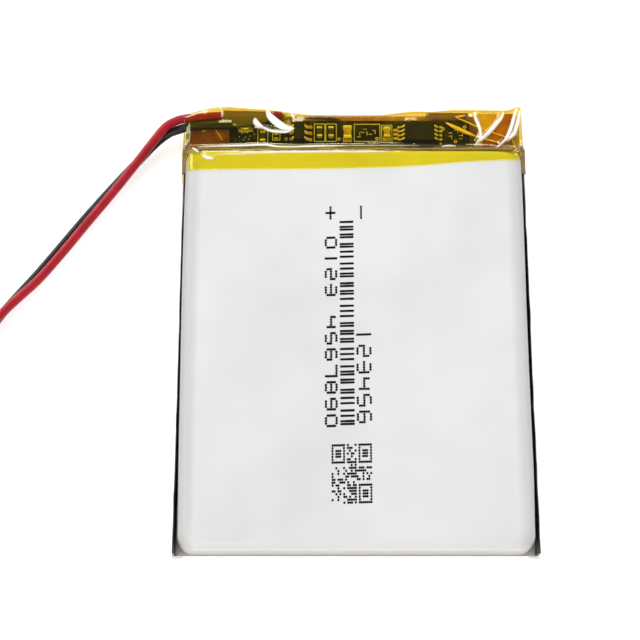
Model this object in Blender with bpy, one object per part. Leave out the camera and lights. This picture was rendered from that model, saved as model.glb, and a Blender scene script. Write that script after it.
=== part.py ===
"""Flat lithium-polymer pouch cell with its protection board, film wrap and two leads.

The cell lies on its back: +Z runs through its thickness towards the formed front,
+Y points to the sealed terrace that carries the board, and +X is to the right seen
from the front. Sizes are written in millimetres and become metres through MM.
"""

import math

import bmesh
import bpy
import numpy as np

MM = 0.001

# overall size
OVERALL_WIDTH = 50.6
BOTTOM_END = -32.7
EAR_TIP = -33.2
TOP_END = 33.2
FRONT_FACE = 6.0

# laminate pouch
LAMINATE = 0.12
TERRACE_BACK_LEVEL = 0.10
CUP_TOP_EDGE = 25.9
TERRACE_END = 32.4
FLANGE_LEVEL = 0.58
FLAP_FOLD_HEIGHT = 0.45
FLAP_HEIGHT = 4.4
FLAP_LEAN = 0.55
EAR_WIDTH = 1.2

# flat winding inside the pouch
WINDING_LEVEL = 3.20
WINDING_CORE = 20.9
WINDING_START = 0.23
WINDING_PITCH = 0.64
WINDING_TURNS = 3
WINDING_BACK_END = -31.4
WINDING_FRONT_END = 24.0
SEPARATOR_OVERHANG = 0.4
CATHODE_SETBACK = 0.5
WINDING_TAPE = (6.0, -22.0, 16.0, 14.0)

# tabs through the top seal
TAB_OFFSET = 13.0
TAB_WIDTH = 4.0
TAB_THICKNESS = 0.10
TAB_LEVEL = 0.40
TAB_RETURN_LEVEL = 1.20
SEAL_OVERHANG = 0.8
SEAL_HALF_THICKNESS = 0.15
WELD_PLATE_HALF_WIDTH = 2.2

# protection board
BOARD_LEFT = -18.3
BOARD_RIGHT = 17.2
BOARD_NEAR = 26.55
BOARD_FAR = 30.95
BOARD_BOTTOM = 1.66
BOARD_TOP = 2.46
PART_GAP = 0.05

# film wrapped round the terrace
FILM = 0.08
FILM_CLEARANCE = 0.02
FILM_FRONT_EDGE = 22.6
FILM_BACK_EDGE = 19.0

# leads
LEAD_DIAMETER = 1.3
LEAD_PITCH = 1.36
LEAD_POINT_SPACING = 2.0
LEAD_END = -58.5
NECK_PITCH = 1.6
CORE_DIAMETER = 0.5

# connector on the leads
HOUSING_SIZE = (5.9, 7.6, 4.5)
CONTACT_PITCH = 2.0
CHANNEL = 1.7
CHANNEL_LEVEL = 2.25
CONTACT_OUTSIDE = 1.10
CONTACT_INSIDE = 0.80
HOUSING_OVER_LEAD = 1.2


def clear_scene():
    for old in list(bpy.data.objects):
        bpy.data.objects.remove(old)


def finish(name, color, roughness, metallic=0.0):
    """A plain material with the piece's colour and shine."""
    mat = bpy.data.materials.new(name)
    mat.use_nodes = True
    shader = mat.node_tree.nodes["Principled BSDF"]
    shader.inputs["Base Color"].default_value = (*color, 1.0)
    shader.inputs["Roughness"].default_value = roughness
    shader.inputs["Metallic"].default_value = metallic
    return mat


def add_object(name, points, faces, mat, closed=True):
    """An object from points in millimetres. A closed mesh gets its faces turned outwards."""
    mesh = bpy.data.meshes.new(name)
    scaled = [tuple(c * MM for c in p) for p in points]
    mesh.from_pydata(scaled, [], faces)
    if closed:
        bm = bmesh.new()
        bm.from_mesh(mesh)
        bmesh.ops.recalc_face_normals(bm, faces=bm.faces)
        bm.to_mesh(mesh)
        bm.free()
    mesh.materials.append(mat)
    obj = bpy.data.objects.new(name, mesh)
    bpy.context.scene.collection.objects.link(obj)
    return obj


def loft(name, sections, mat):
    """A closed solid through matching rings of points, with a flat cap at each end."""
    count = len(sections[0])
    points = [p for ring in sections for p in ring]
    faces = [list(range(count))]
    for level in range(len(sections) - 1):
        base = level * count
        for i in range(count):
            j = (i + 1) % count
            faces.append([base + i, base + j, base + count + j, base + count + i])
    last = (len(sections) - 1) * count
    faces.append([last + i for i in range(count)])
    return add_object(name, points, faces, mat)


def box(name, low, high, mat, bevel=0.0):
    """A rectangular block between two corners, with an optional small bevel."""
    sections = []
    for z in (low[2], high[2]):
        sections.append([
            (low[0], low[1], z), (high[0], low[1], z),
            (high[0], high[1], z), (low[0], high[1], z),
        ])
    obj = loft(name, sections, mat)
    if bevel:
        edge = obj.modifiers.new("edge", "BEVEL")
        edge.width = bevel * MM
        edge.segments = 2
        edge.limit_method = "ANGLE"
    return obj


def strip(name, centre, thickness, x_low, x_high, mat):
    """A bent strip: a centre line in the YZ plane, thickened both ways and drawn out along X."""
    line = np.array(centre, dtype=float)
    step = np.diff(line, axis=0)
    step /= np.linalg.norm(step, axis=1)[:, None]
    normal = np.stack([-step[:, 1], step[:, 0]], axis=1)
    before = np.vstack([normal[:1], normal])
    after = np.vstack([normal, normal[-1:]])
    mitre = before + after
    mitre /= np.sum(mitre * before, axis=1)[:, None]
    upper = line + mitre * thickness / 2
    lower = line - mitre * thickness / 2
    sections = []
    for up, down in zip(upper, lower):
        sections.append([
            (x_low, up[0], up[1]), (x_high, up[0], up[1]),
            (x_high, down[0], down[1]), (x_low, down[0], down[1]),
        ])
    return loft(name, sections, mat)


def sleeve(name, low, high, hole_low, hole_high, mat):
    """A flat rectangular tube whose hole runs along Y."""
    def ring(y, x0, z0, x1, z1):
        return [(x0, y, z0), (x1, y, z0), (x1, y, z1), (x0, y, z1)]

    points = []
    for y in (low[1], high[1]):
        points += ring(y, low[0], low[2], high[0], high[2])
        points += ring(y, hole_low[0], hole_low[1], hole_high[0], hole_high[1])
    faces = []
    for i in range(4):
        j = (i + 1) % 4
        faces.append([i, j, 8 + j, 8 + i])
        faces.append([4 + i, 4 + j, 12 + j, 12 + i])
        faces.append([i, j, 4 + j, 4 + i])
        faces.append([8 + i, 8 + j, 12 + j, 12 + i])
    return add_object(name, points, faces, mat)


def rounded_loop(half_x, y_low, y_high, radius, z, corner_steps=6):
    """A rounded rectangle at height z, counter-clockwise seen from above."""
    centres = [
        (half_x - radius, y_low + radius, -90), (half_x - radius, y_high - radius, 0),
        (radius - half_x, y_high - radius, 90), (radius - half_x, y_low + radius, 180),
    ]
    loop = []
    for cx, cy, start in centres:
        for step in range(corner_steps + 1):
            angle = math.radians(start + 90 * step / corner_steps)
            loop.append((cx + radius * math.cos(angle), cy + radius * math.sin(angle), z))
    return loop


def pouch_cup(mat):
    """The deep-drawn front half: soft-edged walls, a flat front and the terrace flange."""
    # half width, bottom end, top end, corner radius, height
    levels = [
        (24.75, BOTTOM_END + 0.05, TERRACE_END, 0.4, FLANGE_LEVEL + LAMINATE),
        (24.50, BOTTOM_END + 0.15, CUP_TOP_EDGE, 2.0, FLANGE_LEVEL + LAMINATE),
        (24.40, BOTTOM_END + 0.20, CUP_TOP_EDGE - 0.10, 2.0, 2.2),
        (24.25, BOTTOM_END + 0.25, CUP_TOP_EDGE - 0.25, 2.1, 4.3),
        (24.02, BOTTOM_END + 0.40, CUP_TOP_EDGE - 0.50, 2.2, 5.2),
        (23.60, BOTTOM_END + 0.75, CUP_TOP_EDGE - 0.90, 2.3, 5.75),
        (22.90, BOTTOM_END + 1.45, CUP_TOP_EDGE - 1.50, 2.4, FRONT_FACE - 0.01),
        (22.80, BOTTOM_END + 1.55, FILM_FRONT_EDGE - 0.20, 2.4, FRONT_FACE),
    ]
    loops = [rounded_loop(*values) for values in levels]
    count = len(loops[0])
    points = [p for loop in loops for p in loop]
    faces = []
    for level in range(len(loops) - 1):
        base = level * count
        for i in range(count):
            j = (i + 1) % count
            faces.append([base + i, base + j, base + count + j, base + count + i])
    last = (len(loops) - 1) * count
    faces.append([last + i for i in range(count)])
    obj = add_object("pouch_cup", points, faces, mat, closed=False)
    wall = obj.modifiers.new("wall", "SOLIDIFY")
    wall.thickness = LAMINATE * MM
    wall.offset = -1.0
    wall.use_even_offset = True
    return obj


def pouch_back_sheet(mat):
    """The flat back: base and terrace in one sheet, side flaps folded up, two small ears.

    The sheet steps up by the film's thickness where the film passes under it.
    """
    half = OVERALL_WIDTH / 2
    ear_inner = half - EAR_WIDTH
    columns = [-half + 0.25, -ear_inner, ear_inner, half - 0.25]
    rows = [
        (BOTTOM_END, 0.0), (FILM_BACK_EDGE - 0.5, 0.0),
        (FILM_BACK_EDGE - 0.1, TERRACE_BACK_LEVEL), (CUP_TOP_EDGE, TERRACE_BACK_LEVEL),
        (TERRACE_END, TERRACE_BACK_LEVEL),
    ]
    points = [(x, y, z) for y, z in rows for x in columns]
    faces = []
    for row in range(len(rows) - 1):
        for col in range(3):
            a = row * 4 + col
            faces.append([a, a + 4, a + 5, a + 1])
    # side flaps stand up against the cup wall, widest just above the base
    flap_rows = rows[:-1]
    for side, column in ((-1, 0), (1, 3)):
        first = len(points)
        for y, _ in flap_rows:
            points.append((side * half, y, FLAP_FOLD_HEIGHT))
            points.append((side * (half - FLAP_LEAN), y, FLAP_HEIGHT))
        flap = []
        for row in range(len(flap_rows) - 1):
            low, high = row * 4 + column, (row + 1) * 4 + column
            fold = first + row * 2
            flap.append([low, fold, fold + 2, high])
            flap.append([fold, fold + 1, fold + 3, fold + 2])
        faces += flap if side < 0 else [face[::-1] for face in flap]
    # ears of spare laminate at the folded bottom corners
    for left, right in ((0, 1), (2, 3)):
        first = len(points)
        points.append((points[left][0], EAR_TIP, 0.0))
        points.append((points[right][0], EAR_TIP, 0.0))
        faces.append([first, left, right, first + 1])
    obj = add_object("pouch_back_sheet", points, faces, mat, closed=False)
    wall = obj.modifiers.new("wall", "SOLIDIFY")
    wall.thickness = LAMINATE * MM
    wall.offset = -1.0
    wall.use_even_offset = True
    return obj


def winding_layer(name, inset, thickness, y_low, y_high, mat):
    """One layer of the flat winding, a strip that spirals round a straight core.

    Half-turns alternate below and above the core. The radius grows by half a pitch
    on each end arc, so layers with different insets nest without touching.
    """
    arc_steps = 8
    samples = []
    for half_turn in range(2 * WINDING_TURNS):
        radius = WINDING_START + inset + WINDING_PITCH * half_turn / 2
        side = 1 if half_turn % 2 == 0 else -1
        start_angle = -90 if side > 0 else 90
        samples.append((-side * WINDING_CORE, start_angle, radius))
        for step in range(arc_steps):
            part = step / arc_steps
            grown = radius + WINDING_PITCH / 2 * part
            samples.append((side * WINDING_CORE, start_angle + 180 * part, grown))
    # the last stretch runs back along the underside
    end_radius = WINDING_START + inset + WINDING_PITCH * WINDING_TURNS
    samples.append((-WINDING_CORE, -90, end_radius))
    samples.append((WINDING_CORE - 1.0, -90, end_radius))
    sections = []
    for centre_x, degrees, radius in samples:
        angle = math.radians(degrees)
        ring = []
        for shift, y in ((0, y_low), (thickness, y_low), (thickness, y_high), (0, y_high)):
            reach = radius + shift
            x = centre_x + reach * math.cos(angle)
            z = WINDING_LEVEL + reach * math.sin(angle)
            ring.append((x, y, z))
        sections.append(ring)
    return loft(name, sections, mat)


def winding(mats):
    """Separator, anode, separator and cathode, wound together."""
    over, short = SEPARATOR_OVERHANG, -CATHODE_SETBACK
    # name, inset from the core, thickness, how far each end stands past the anode
    layers = [
        ("separator_inner", 0.00, 0.05, over, mats["separator"]),
        ("anode_winding", 0.08, 0.20, 0.0, mats["anode"]),
        ("separator_outer", 0.31, 0.05, over, mats["separator"]),
        ("cathode_winding", 0.39, 0.18, short, mats["cathode"]),
    ]
    for name, inset, thickness, past, mat in layers:
        y_low, y_high = WINDING_BACK_END - past, WINDING_FRONT_END + past
        winding_layer(name, inset, thickness, y_low, y_high, mat)
    outermost = layers[-1][1] + layers[-1][2]
    top = WINDING_LEVEL + WINDING_START + WINDING_PITCH * (WINDING_TURNS - 0.5) + outermost
    left, near, right, far = WINDING_TAPE
    box("winding_tape", (left, near, top + 0.06), (right, far, top + 0.12), mats["tape"])


def tab(name, centre_x, mat):
    """A foil tab: from the winding's core, down, out through the seal and folded back."""
    turn = (TAB_RETURN_LEVEL - TAB_LEVEL) / 2
    fold_y = TERRACE_END + 0.05
    fold_z = TAB_LEVEL + turn
    line = [
        (6.0, WINDING_LEVEL), (24.45, WINDING_LEVEL), (24.9, WINDING_LEVEL - 0.4),
        (24.95, TAB_LEVEL + 0.35), (25.3, TAB_LEVEL),
    ]
    for step in range(9):
        angle = math.radians(-90 + 180 * step / 8)
        line.append((fold_y + turn * math.cos(angle), fold_z + turn * math.sin(angle)))
    line.append((27.4, TAB_RETURN_LEVEL))
    half = TAB_WIDTH / 2
    return strip(name, line, TAB_THICKNESS, centre_x - half, centre_x + half, mat)


def tab_pieces(side_name, centre_x, mats):
    """The tab of one pole with its seal strip, weld tape and weld plate."""
    tab(f"{side_name}_tab", centre_x, mats[f"{side_name}_tab"])
    half = TAB_WIDTH / 2
    sleeve(
        f"{side_name}_tab_seal",
        (centre_x - half - SEAL_OVERHANG, 27.6, TAB_LEVEL - SEAL_HALF_THICKNESS),
        (centre_x + half + SEAL_OVERHANG, TERRACE_END - 0.1, TAB_LEVEL + SEAL_HALF_THICKNESS),
        (centre_x - half - 0.06, TAB_LEVEL - 0.08),
        (centre_x + half + 0.06, TAB_LEVEL + 0.08),
        mats["seal"],
    )
    box(
        f"{side_name}_tab_tape",
        (centre_x - half - 1.0, 8.0, WINDING_LEVEL + 0.09),
        (centre_x + half + 1.0, 23.5, WINDING_LEVEL + 0.15),
        mats["tape"],
    )
    box(
        f"{side_name}_weld_plate",
        (centre_x - WELD_PLATE_HALF_WIDTH, 27.2, TAB_RETURN_LEVEL + 0.10),
        (centre_x + WELD_PLATE_HALF_WIDTH, 30.6, BOARD_BOTTOM - PART_GAP),
        mats["nickel"],
        bevel=0.08,
    )


def chip(name, centre, body, height, pins_per_side, pin_pitch, pin_width, reach, mat):
    """A moulded chip with bent legs on its left and right sides, joined to the body."""
    cx, cy = centre
    floor = BOARD_TOP + PART_GAP
    half_x, half_y = body[0] / 2, body[1] / 2
    draft = 0.08
    sections = []
    for z, inset in ((floor + 0.1, draft), (floor + height / 2, 0.0), (floor + height, draft)):
        x, y = half_x - inset, half_y - inset
        ring = [(cx - x, cy - y, z), (cx + x, cy - y, z), (cx + x, cy + y, z), (cx - x, cy + y, z)]
        sections.append(ring)
    obj = loft(name, sections, mat)
    points, faces = [], []
    metal = 0.15
    shoulder = floor + height / 2
    for side in (-1, 1):
        for pin in range(pins_per_side):
            y = cy + (pin - (pins_per_side - 1) / 2) * pin_pitch
            line = [
                (half_x - 0.3, shoulder), (half_x + (reach - half_x) * 0.35, shoulder),
                (half_x + (reach - half_x) * 0.55, floor + metal / 2),
                (reach, floor + metal / 2),
            ]
            first = len(points)
            for along, z in line:
                x = cx + side * along
                for dy, dz in ((-1, -1), (1, -1), (1, 1), (-1, 1)):
                    points.append((x, y + dy * pin_width / 2, z + dz * metal / 2))
            for section in range(len(line) - 1):
                base = first + section * 4
                for i in range(4):
                    j = (i + 1) % 4
                    faces.append([base + i, base + j, base + 4 + j, base + 4 + i])
            faces.append([first + i for i in range(4)])
            end = first + (len(line) - 1) * 4
            faces.append([end + i for i in range(4)])
    legs = add_object(f"{name}_legs_guide", points, faces, mat)
    legs.hide_render = True
    legs.display_type = "WIRE"
    union = obj.modifiers.new("legs", "BOOLEAN")
    union.operation = "UNION"
    union.object = legs
    return obj


def end_capped_part(name, centre, size, cap_length, mat):
    """A small resistor or capacitor lying along Y, with slightly proud metal ends."""
    cx, cy = centre
    floor = BOARD_TOP + PART_GAP
    width, length, height = size
    waist = 0.02
    stations = [
        (-length / 2, 0.0), (-length / 2 + cap_length, 0.0),
        (-length / 2 + cap_length + 0.02, waist), (length / 2 - cap_length - 0.02, waist),
        (length / 2 - cap_length, 0.0), (length / 2, 0.0),
    ]
    sections = []
    for along, inset in stations:
        x, y = width / 2 - inset, cy + along
        low, high = floor + inset, floor + height - inset
        sections.append([(cx - x, y, low), (cx + x, y, low), (cx + x, y, high), (cx - x, y, high)])
    return loft(name, sections, mat)


def solder_joint(name, centre, radius_x, radius_y, height, mat):
    """A low dome of solder."""
    around, rings = 16, 5
    floor = BOARD_TOP + PART_GAP
    sections = []
    for ring in range(rings):
        part = ring / (rings - 1) * 0.82
        spread = math.cos(part * math.pi / 2)
        z = floor + height * math.sin(part * math.pi / 2)
        loop = []
        for step in range(around):
            angle = 2 * math.pi * step / around
            x = centre[0] + radius_x * spread * math.cos(angle)
            y = centre[1] + radius_y * spread * math.sin(angle)
            loop.append((x, y, z))
        sections.append(loop)
    return loft(name, sections, mat)


def board_parts(mats):
    """The protection board and everything soldered on it."""
    box(
        "pcm_board", (BOARD_LEFT, BOARD_NEAR, BOARD_BOTTOM), (BOARD_RIGHT, BOARD_FAR, BOARD_TOP),
        mats["board"], bevel=0.1,
    )
    chip("mosfet_chip", (9.78, 28.90), (4.4, 3.0), 1.0, 4, 0.65, 0.24, 3.1, mats["chip"])
    chip("protection_chip", (-7.98, 28.95), (1.6, 2.9), 1.05, 3, 0.95, 0.40, 1.35, mats["chip"])
    end_capped_part("resistor_1", (-13.35, 28.35), (0.8, 1.6, 0.45), 0.32, mats["resistor"])
    end_capped_part("resistor_2", (-4.96, 29.05), (0.8, 1.6, 0.45), 0.32, mats["resistor"])
    end_capped_part("resistor_3", (-3.26, 29.05), (0.8, 1.6, 0.45), 0.32, mats["resistor"])
    end_capped_part("capacitor_1", (-0.84, 28.85), (1.15, 2.0, 0.8), 0.45, mats["capacitor"])
    end_capped_part("capacitor_2", (4.98, 28.85), (0.95, 1.6, 0.8), 0.38, mats["capacitor"])
    solder_joint("solder_positive", (-9.75, 30.1), 0.45, 0.75, 0.45, mats["solder"])
    solder_joint("solder_negative", (-15.9, 29.9), 0.95, 0.7, 0.5, mats["solder"])


def insulation(mats):
    """Film over the terrace, the pad under the board and the outer film wrap."""
    tape_low = FLANGE_LEVEL + LAMINATE + 0.04
    box(
        "terrace_tape", (-24.4, 26.2, tape_low), (24.4, TERRACE_END - 0.1, tape_low + FILM),
        mats["film"],
    )
    pad_low = tape_low + FILM + PART_GAP
    box("board_pad", (-9.5, 27.0, pad_low), (9.5, 30.6, BOARD_BOTTOM - PART_GAP), mats["pad"])
    half = FILM / 2
    outer = OVERALL_WIDTH / 2
    front = FRONT_FACE + FILM_CLEARANCE + half
    line = [
        (FILM_FRONT_EDGE, front), (24.5, front),
        (25.5, FRONT_FACE - 0.45), (26.1, 4.7), (27.0, 4.15), (31.6, 4.0), (32.6, 3.6),
        (TOP_END - half, 2.6), (TOP_END - half, 0.9), (TOP_END - 0.5, half), (FILM_BACK_EDGE, half),
    ]
    strip("wrap_film", line, FILM, -outer, outer, mats["film"])


# Middle line of the lead pair outside the film: x, y, z, the turn of the pair in degrees,
# where 0 puts the red lead on the cell's side and 90 puts it on top, and the leads' pitch.
PAIR_ROUTE = [
    (-25.2, 30.5, 2.35, 160, LEAD_PITCH), (-27.2, 29.7, 2.25, 125, LEAD_PITCH),
    (-28.9, 28.2, 2.00, 100, LEAD_PITCH), (-31.5, 25.2, 1.55, 80, LEAD_PITCH),
    (-35.3, 20.5, 1.28, 64, LEAD_PITCH), (-39.0, 15.8, 1.25, 60, LEAD_PITCH),
    (-42.4, 11.3, 1.26, 62, LEAD_PITCH), (-46.0, 6.7, 1.32, 72, LEAD_PITCH),
    (-49.4, 2.9, 1.35, 86, LEAD_PITCH), (-52.3, -0.9, 1.36, 90, LEAD_PITCH),
    (-54.4, -5.2, 1.33, 76, LEAD_PITCH), (-55.8, -10.5, 1.20, 50, LEAD_PITCH),
    (-56.4, -17.0, 0.94, 22, LEAD_PITCH), (-56.5, -25.0, 0.70, 0, LEAD_PITCH),
    (-56.5, -35.0, 0.70, 0, LEAD_PITCH), (-56.5, -45.0, 0.74, 0, LEAD_PITCH),
    (-56.5, -51.5, 1.35, 0, NECK_PITCH), (-56.5, -55.5, 2.10, 0, CONTACT_PITCH),
    (-56.5, LEAD_END, CHANNEL_LEVEL, 0, CONTACT_PITCH),
]
RED_HEAD = [(-11.6, 31.8, 2.20), (-15.0, 31.8, 2.20), (-19.0, 31.8, 2.20), (-22.5, 31.55, 2.20)]
BLACK_HEAD = [(-18.0, 29.9, 3.20), (-20.0, 29.9, 3.10), (-22.6, 29.95, 2.75)]
RED_BARE_END = [(-11.3, 31.8, 2.25), (-10.6, 31.75, 2.6), (-10.0, 31.4, 3.0), (-9.8, 31.15, 2.95)]
BLACK_BARE_END = [(-17.7, 29.9, 3.15), (-17.3, 29.9, 3.0), (-17.05, 29.9, 2.9)]


def smooth_line(points, per_span=16):
    """A centripetal Catmull-Rom curve through points whose first three values are a place."""
    pts = np.array(points, dtype=float)
    ends = np.vstack([2 * pts[0] - pts[1], pts, 2 * pts[-1] - pts[-2]])
    curve = []
    for p0, p1, p2, p3 in zip(ends, ends[1:], ends[2:], ends[3:]):
        t1 = math.sqrt(np.linalg.norm((p1 - p0)[:3]))
        t2 = t1 + math.sqrt(np.linalg.norm((p2 - p1)[:3]))
        t3 = t2 + math.sqrt(np.linalg.norm((p3 - p2)[:3]))
        t = np.linspace(t1, t2, per_span, endpoint=False)[:, None]
        a1 = (t1 - t) / t1 * p0 + t / t1 * p1
        a2 = (t2 - t) / (t2 - t1) * p1 + (t - t1) / (t2 - t1) * p2
        a3 = (t3 - t) / (t3 - t2) * p2 + (t - t2) / (t3 - t2) * p3
        b1 = (t2 - t) / t2 * a1 + t / t2 * a2
        b2 = (t3 - t) / (t3 - t1) * a2 + (t - t1) / (t3 - t1) * a3
        curve.append((t2 - t) / (t2 - t1) * b1 + (t - t1) / (t2 - t1) * b2)
    curve.append(pts[-1:])
    return np.vstack(curve)


def evenly_spaced(line, spacing):
    """The same line with its points an equal distance apart."""
    reach = np.concatenate([[0.0], np.cumsum(np.linalg.norm(np.diff(line, axis=0), axis=1))])
    count = int(round(reach[-1] / spacing)) + 1
    at = np.linspace(0.0, reach[-1], count)
    return np.stack([np.interp(at, reach, line[:, axis]) for axis in range(3)], axis=1)


def lead_line(head, side):
    """One lead's centre line: its own head points, then half a pitch off the pair's middle line."""
    pair = smooth_line(PAIR_ROUTE)
    middle, turn, pitch = pair[:, :3], np.radians(pair[:, 3]), pair[:, 4]
    along = np.gradient(middle, axis=0)
    across = np.stack([-along[:, 1], along[:, 0]], axis=1)
    across /= np.linalg.norm(across, axis=1)[:, None]
    offset = np.zeros_like(middle)
    offset[:, :2] = across * np.cos(turn)[:, None]
    offset[:, 2] = np.sin(turn)
    outside = middle + side * offset * pitch[:, None] / 2
    line = smooth_line(head + [tuple(p) for p in outside[::8]])
    return evenly_spaced(line, LEAD_POINT_SPACING)


def tube(name, line, diameter, mat):
    """A plain round tube along a line of points."""
    curve = bpy.data.curves.new(name, "CURVE")
    curve.dimensions = "3D"
    curve.bevel_depth = diameter / 2 * MM
    curve.bevel_resolution = 2
    curve.use_fill_caps = True
    spline = curve.splines.new("POLY")
    spline.points.add(len(line) - 1)
    for point, place in zip(spline.points, line):
        point.co = (*(c * MM for c in place), 1.0)
    curve.materials.append(mat)
    obj = bpy.data.objects.new(name, curve)
    bpy.context.scene.collection.objects.link(obj)
    return obj


def leads(mats):
    """Two insulated leads and the bare ends that are soldered to the board."""
    red = lead_line(RED_HEAD, 1)
    black = lead_line(BLACK_HEAD, -1)
    tube("red_lead", red, LEAD_DIAMETER, mats["red"])
    tube("black_lead", black, LEAD_DIAMETER, mats["black"])
    tube("red_lead_core", smooth_line(RED_BARE_END, 4), CORE_DIAMETER, mats["solder"])
    tube("black_lead_core", BLACK_BARE_END, CORE_DIAMETER, mats["solder"])


def connector(mats):
    """A two-way crimp housing with a contact in each channel, at the end of the leads."""
    width, length, height = HOUSING_SIZE
    centre_x = PAIR_ROUTE[-1][0]
    rear = LEAD_END + HOUSING_OVER_LEAD
    front = rear - length
    low = (centre_x - width / 2, front, 0.0)
    high = (centre_x + width / 2, rear, height)
    housing = box("connector_housing", low, high, mats["nylon"], bevel=0.15)
    level = CHANNEL_LEVEL
    half, outside, inside = CHANNEL / 2, CONTACT_OUTSIDE / 2, CONTACT_INSIDE / 2
    for side, pole in ((-1, "negative"), (1, "positive")):
        x = centre_x + side * CONTACT_PITCH / 2
        cutter = box(
            f"{pole}_channel_guide", (x - half, front - 1, level - half),
            (x + half, rear + 1, level + half), mats["nylon"],
        )
        cutter.hide_render = True
        cutter.display_type = "WIRE"
        cut = housing.modifiers.new(f"{pole}_channel", "BOOLEAN")
        cut.operation = "DIFFERENCE"
        cut.object = cutter
        sleeve(
            f"{pole}_contact",
            (x - outside, front + 0.6, level - outside),
            (x + outside, LEAD_END - 0.3, level + outside),
            (x - inside, level - inside), (x + inside, level + inside), mats["contact"],
        )


def build():
    clear_scene()
    mats = {
        "laminate": finish("pouch_laminate", (0.80, 0.80, 0.79), 0.35),
        "separator": finish("separator_film", (0.85, 0.85, 0.83), 0.6),
        "anode": finish("anode_foil", (0.10, 0.07, 0.05), 0.6, 0.3),
        "cathode": finish("cathode_foil", (0.03, 0.03, 0.03), 0.7),
        "tape": finish("green_tape", (0.05, 0.30, 0.12), 0.4),
        "positive_tab": finish("aluminium_tab", (0.80, 0.80, 0.82), 0.35, 1.0),
        "negative_tab": finish("nickel_tab", (0.65, 0.62, 0.56), 0.35, 1.0),
        "nickel": finish("nickel_plate", (0.62, 0.60, 0.55), 0.35, 1.0),
        "seal": finish("tab_sealant", (0.55, 0.55, 0.58), 0.5),
        "board": finish("board_mask", (0.03, 0.07, 0.03), 0.35),
        "chip": finish("chip_mould", (0.02, 0.02, 0.02), 0.55),
        "resistor": finish("resistor_body", (0.04, 0.03, 0.03), 0.5),
        "capacitor": finish("capacitor_body", (0.45, 0.30, 0.12), 0.5),
        "solder": finish("solder", (0.70, 0.70, 0.70), 0.3, 1.0),
        "film": finish("amber_film", (0.75, 0.42, 0.05), 0.2),
        "pad": finish("foam_pad", (0.75, 0.75, 0.72), 0.8),
        "red": finish("red_insulation", (0.50, 0.02, 0.03), 0.45),
        "black": finish("black_insulation", (0.02, 0.02, 0.02), 0.45),
        "nylon": finish("nylon_housing", (0.85, 0.84, 0.80), 0.5),
        "contact": finish("tinned_contact", (0.72, 0.70, 0.66), 0.35, 1.0),
    }
    pouch_cup(mats["laminate"])
    pouch_back_sheet(mats["laminate"])
    winding(mats)
    tab_pieces("positive", -TAB_OFFSET, mats)
    tab_pieces("negative", TAB_OFFSET, mats)
    insulation(mats)
    board_parts(mats)
    leads(mats)
    connector(mats)


build()
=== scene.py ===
import math

import bmesh
import bpy
import numpy as np
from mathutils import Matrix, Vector


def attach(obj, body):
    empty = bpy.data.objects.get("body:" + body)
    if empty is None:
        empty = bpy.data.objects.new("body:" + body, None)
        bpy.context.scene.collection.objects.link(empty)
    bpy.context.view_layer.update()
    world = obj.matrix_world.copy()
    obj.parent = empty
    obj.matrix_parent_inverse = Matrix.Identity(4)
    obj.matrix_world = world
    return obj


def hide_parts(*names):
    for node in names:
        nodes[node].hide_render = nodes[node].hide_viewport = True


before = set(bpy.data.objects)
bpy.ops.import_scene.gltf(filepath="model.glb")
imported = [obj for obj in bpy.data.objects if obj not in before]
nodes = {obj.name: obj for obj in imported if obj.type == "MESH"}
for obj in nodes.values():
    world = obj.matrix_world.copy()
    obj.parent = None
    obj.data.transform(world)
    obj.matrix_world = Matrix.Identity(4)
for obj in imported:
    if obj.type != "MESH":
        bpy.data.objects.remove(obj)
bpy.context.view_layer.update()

mm = 0.001


# A pouch cell lying on its back: x to the right, y towards the end with the board, z up.
# Sizes below are in millimetres; putMesh turns them into metres.

def gridFaces(rows, cols, wrapped=False):
    # quads between neighbouring rows and columns of points numbered row by row
    row = np.arange(rows - 1)[:, None]
    col = np.arange(cols if wrapped else cols - 1)[None, :]
    a = row * cols + col
    b = row * cols + (col + 1) % cols
    return np.stack([a, b, b + cols, a + cols], axis=-1).reshape(-1, 4)


def putMesh(name, points, faces, material, slotName, stands=(), smoothAngle=40, weld=False):
    # one finished piece from points in millimetres, riding on the single body
    mesh = bpy.data.meshes.new(name)
    mesh.from_pydata((np.asarray(points, dtype=float) * mm).tolist(), [],
                     [list(map(int, f)) for f in faces])
    mesh.materials.append(material)
    work = bmesh.new()
    work.from_mesh(mesh)
    if weld:
        bmesh.ops.remove_doubles(work, verts=work.verts, dist=1e-7)
    bmesh.ops.recalc_face_normals(work, faces=work.faces)
    work.to_mesh(mesh)
    work.free()
    if smoothAngle:
        mesh.shade_smooth()
        mesh.set_sharp_from_angle(angle=math.radians(smoothAngle))
    piece = bpy.data.objects.new(name, mesh)
    bpy.context.scene.collection.objects.link(piece)
    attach(piece, "root")
    if stands:
        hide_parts(*stands)
    return piece


def joinShapes(shapes):
    # several (points, faces) pairs as one pair
    points, faces, first = [], [], 0
    for shapePoints, shapeFaces in shapes:
        points.append(np.asarray(shapePoints, dtype=float))
        faces += [[i + first for i in f] for f in shapeFaces]
        first += len(shapePoints)
    return np.vstack(points), faces


def loftShape(rings):
    # matching rings of points skinned one after the other, with a flat cap at each end
    rings = np.asarray(rings, dtype=float)
    rows, cols = rings.shape[:2]
    sides = gridFaces(rows, cols, wrapped=True).tolist()
    bottom = list(range(cols))[::-1]
    top = [(rows - 1) * cols + i for i in range(cols)]
    return rings.reshape(-1, 3), sides + [bottom, top]


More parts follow.
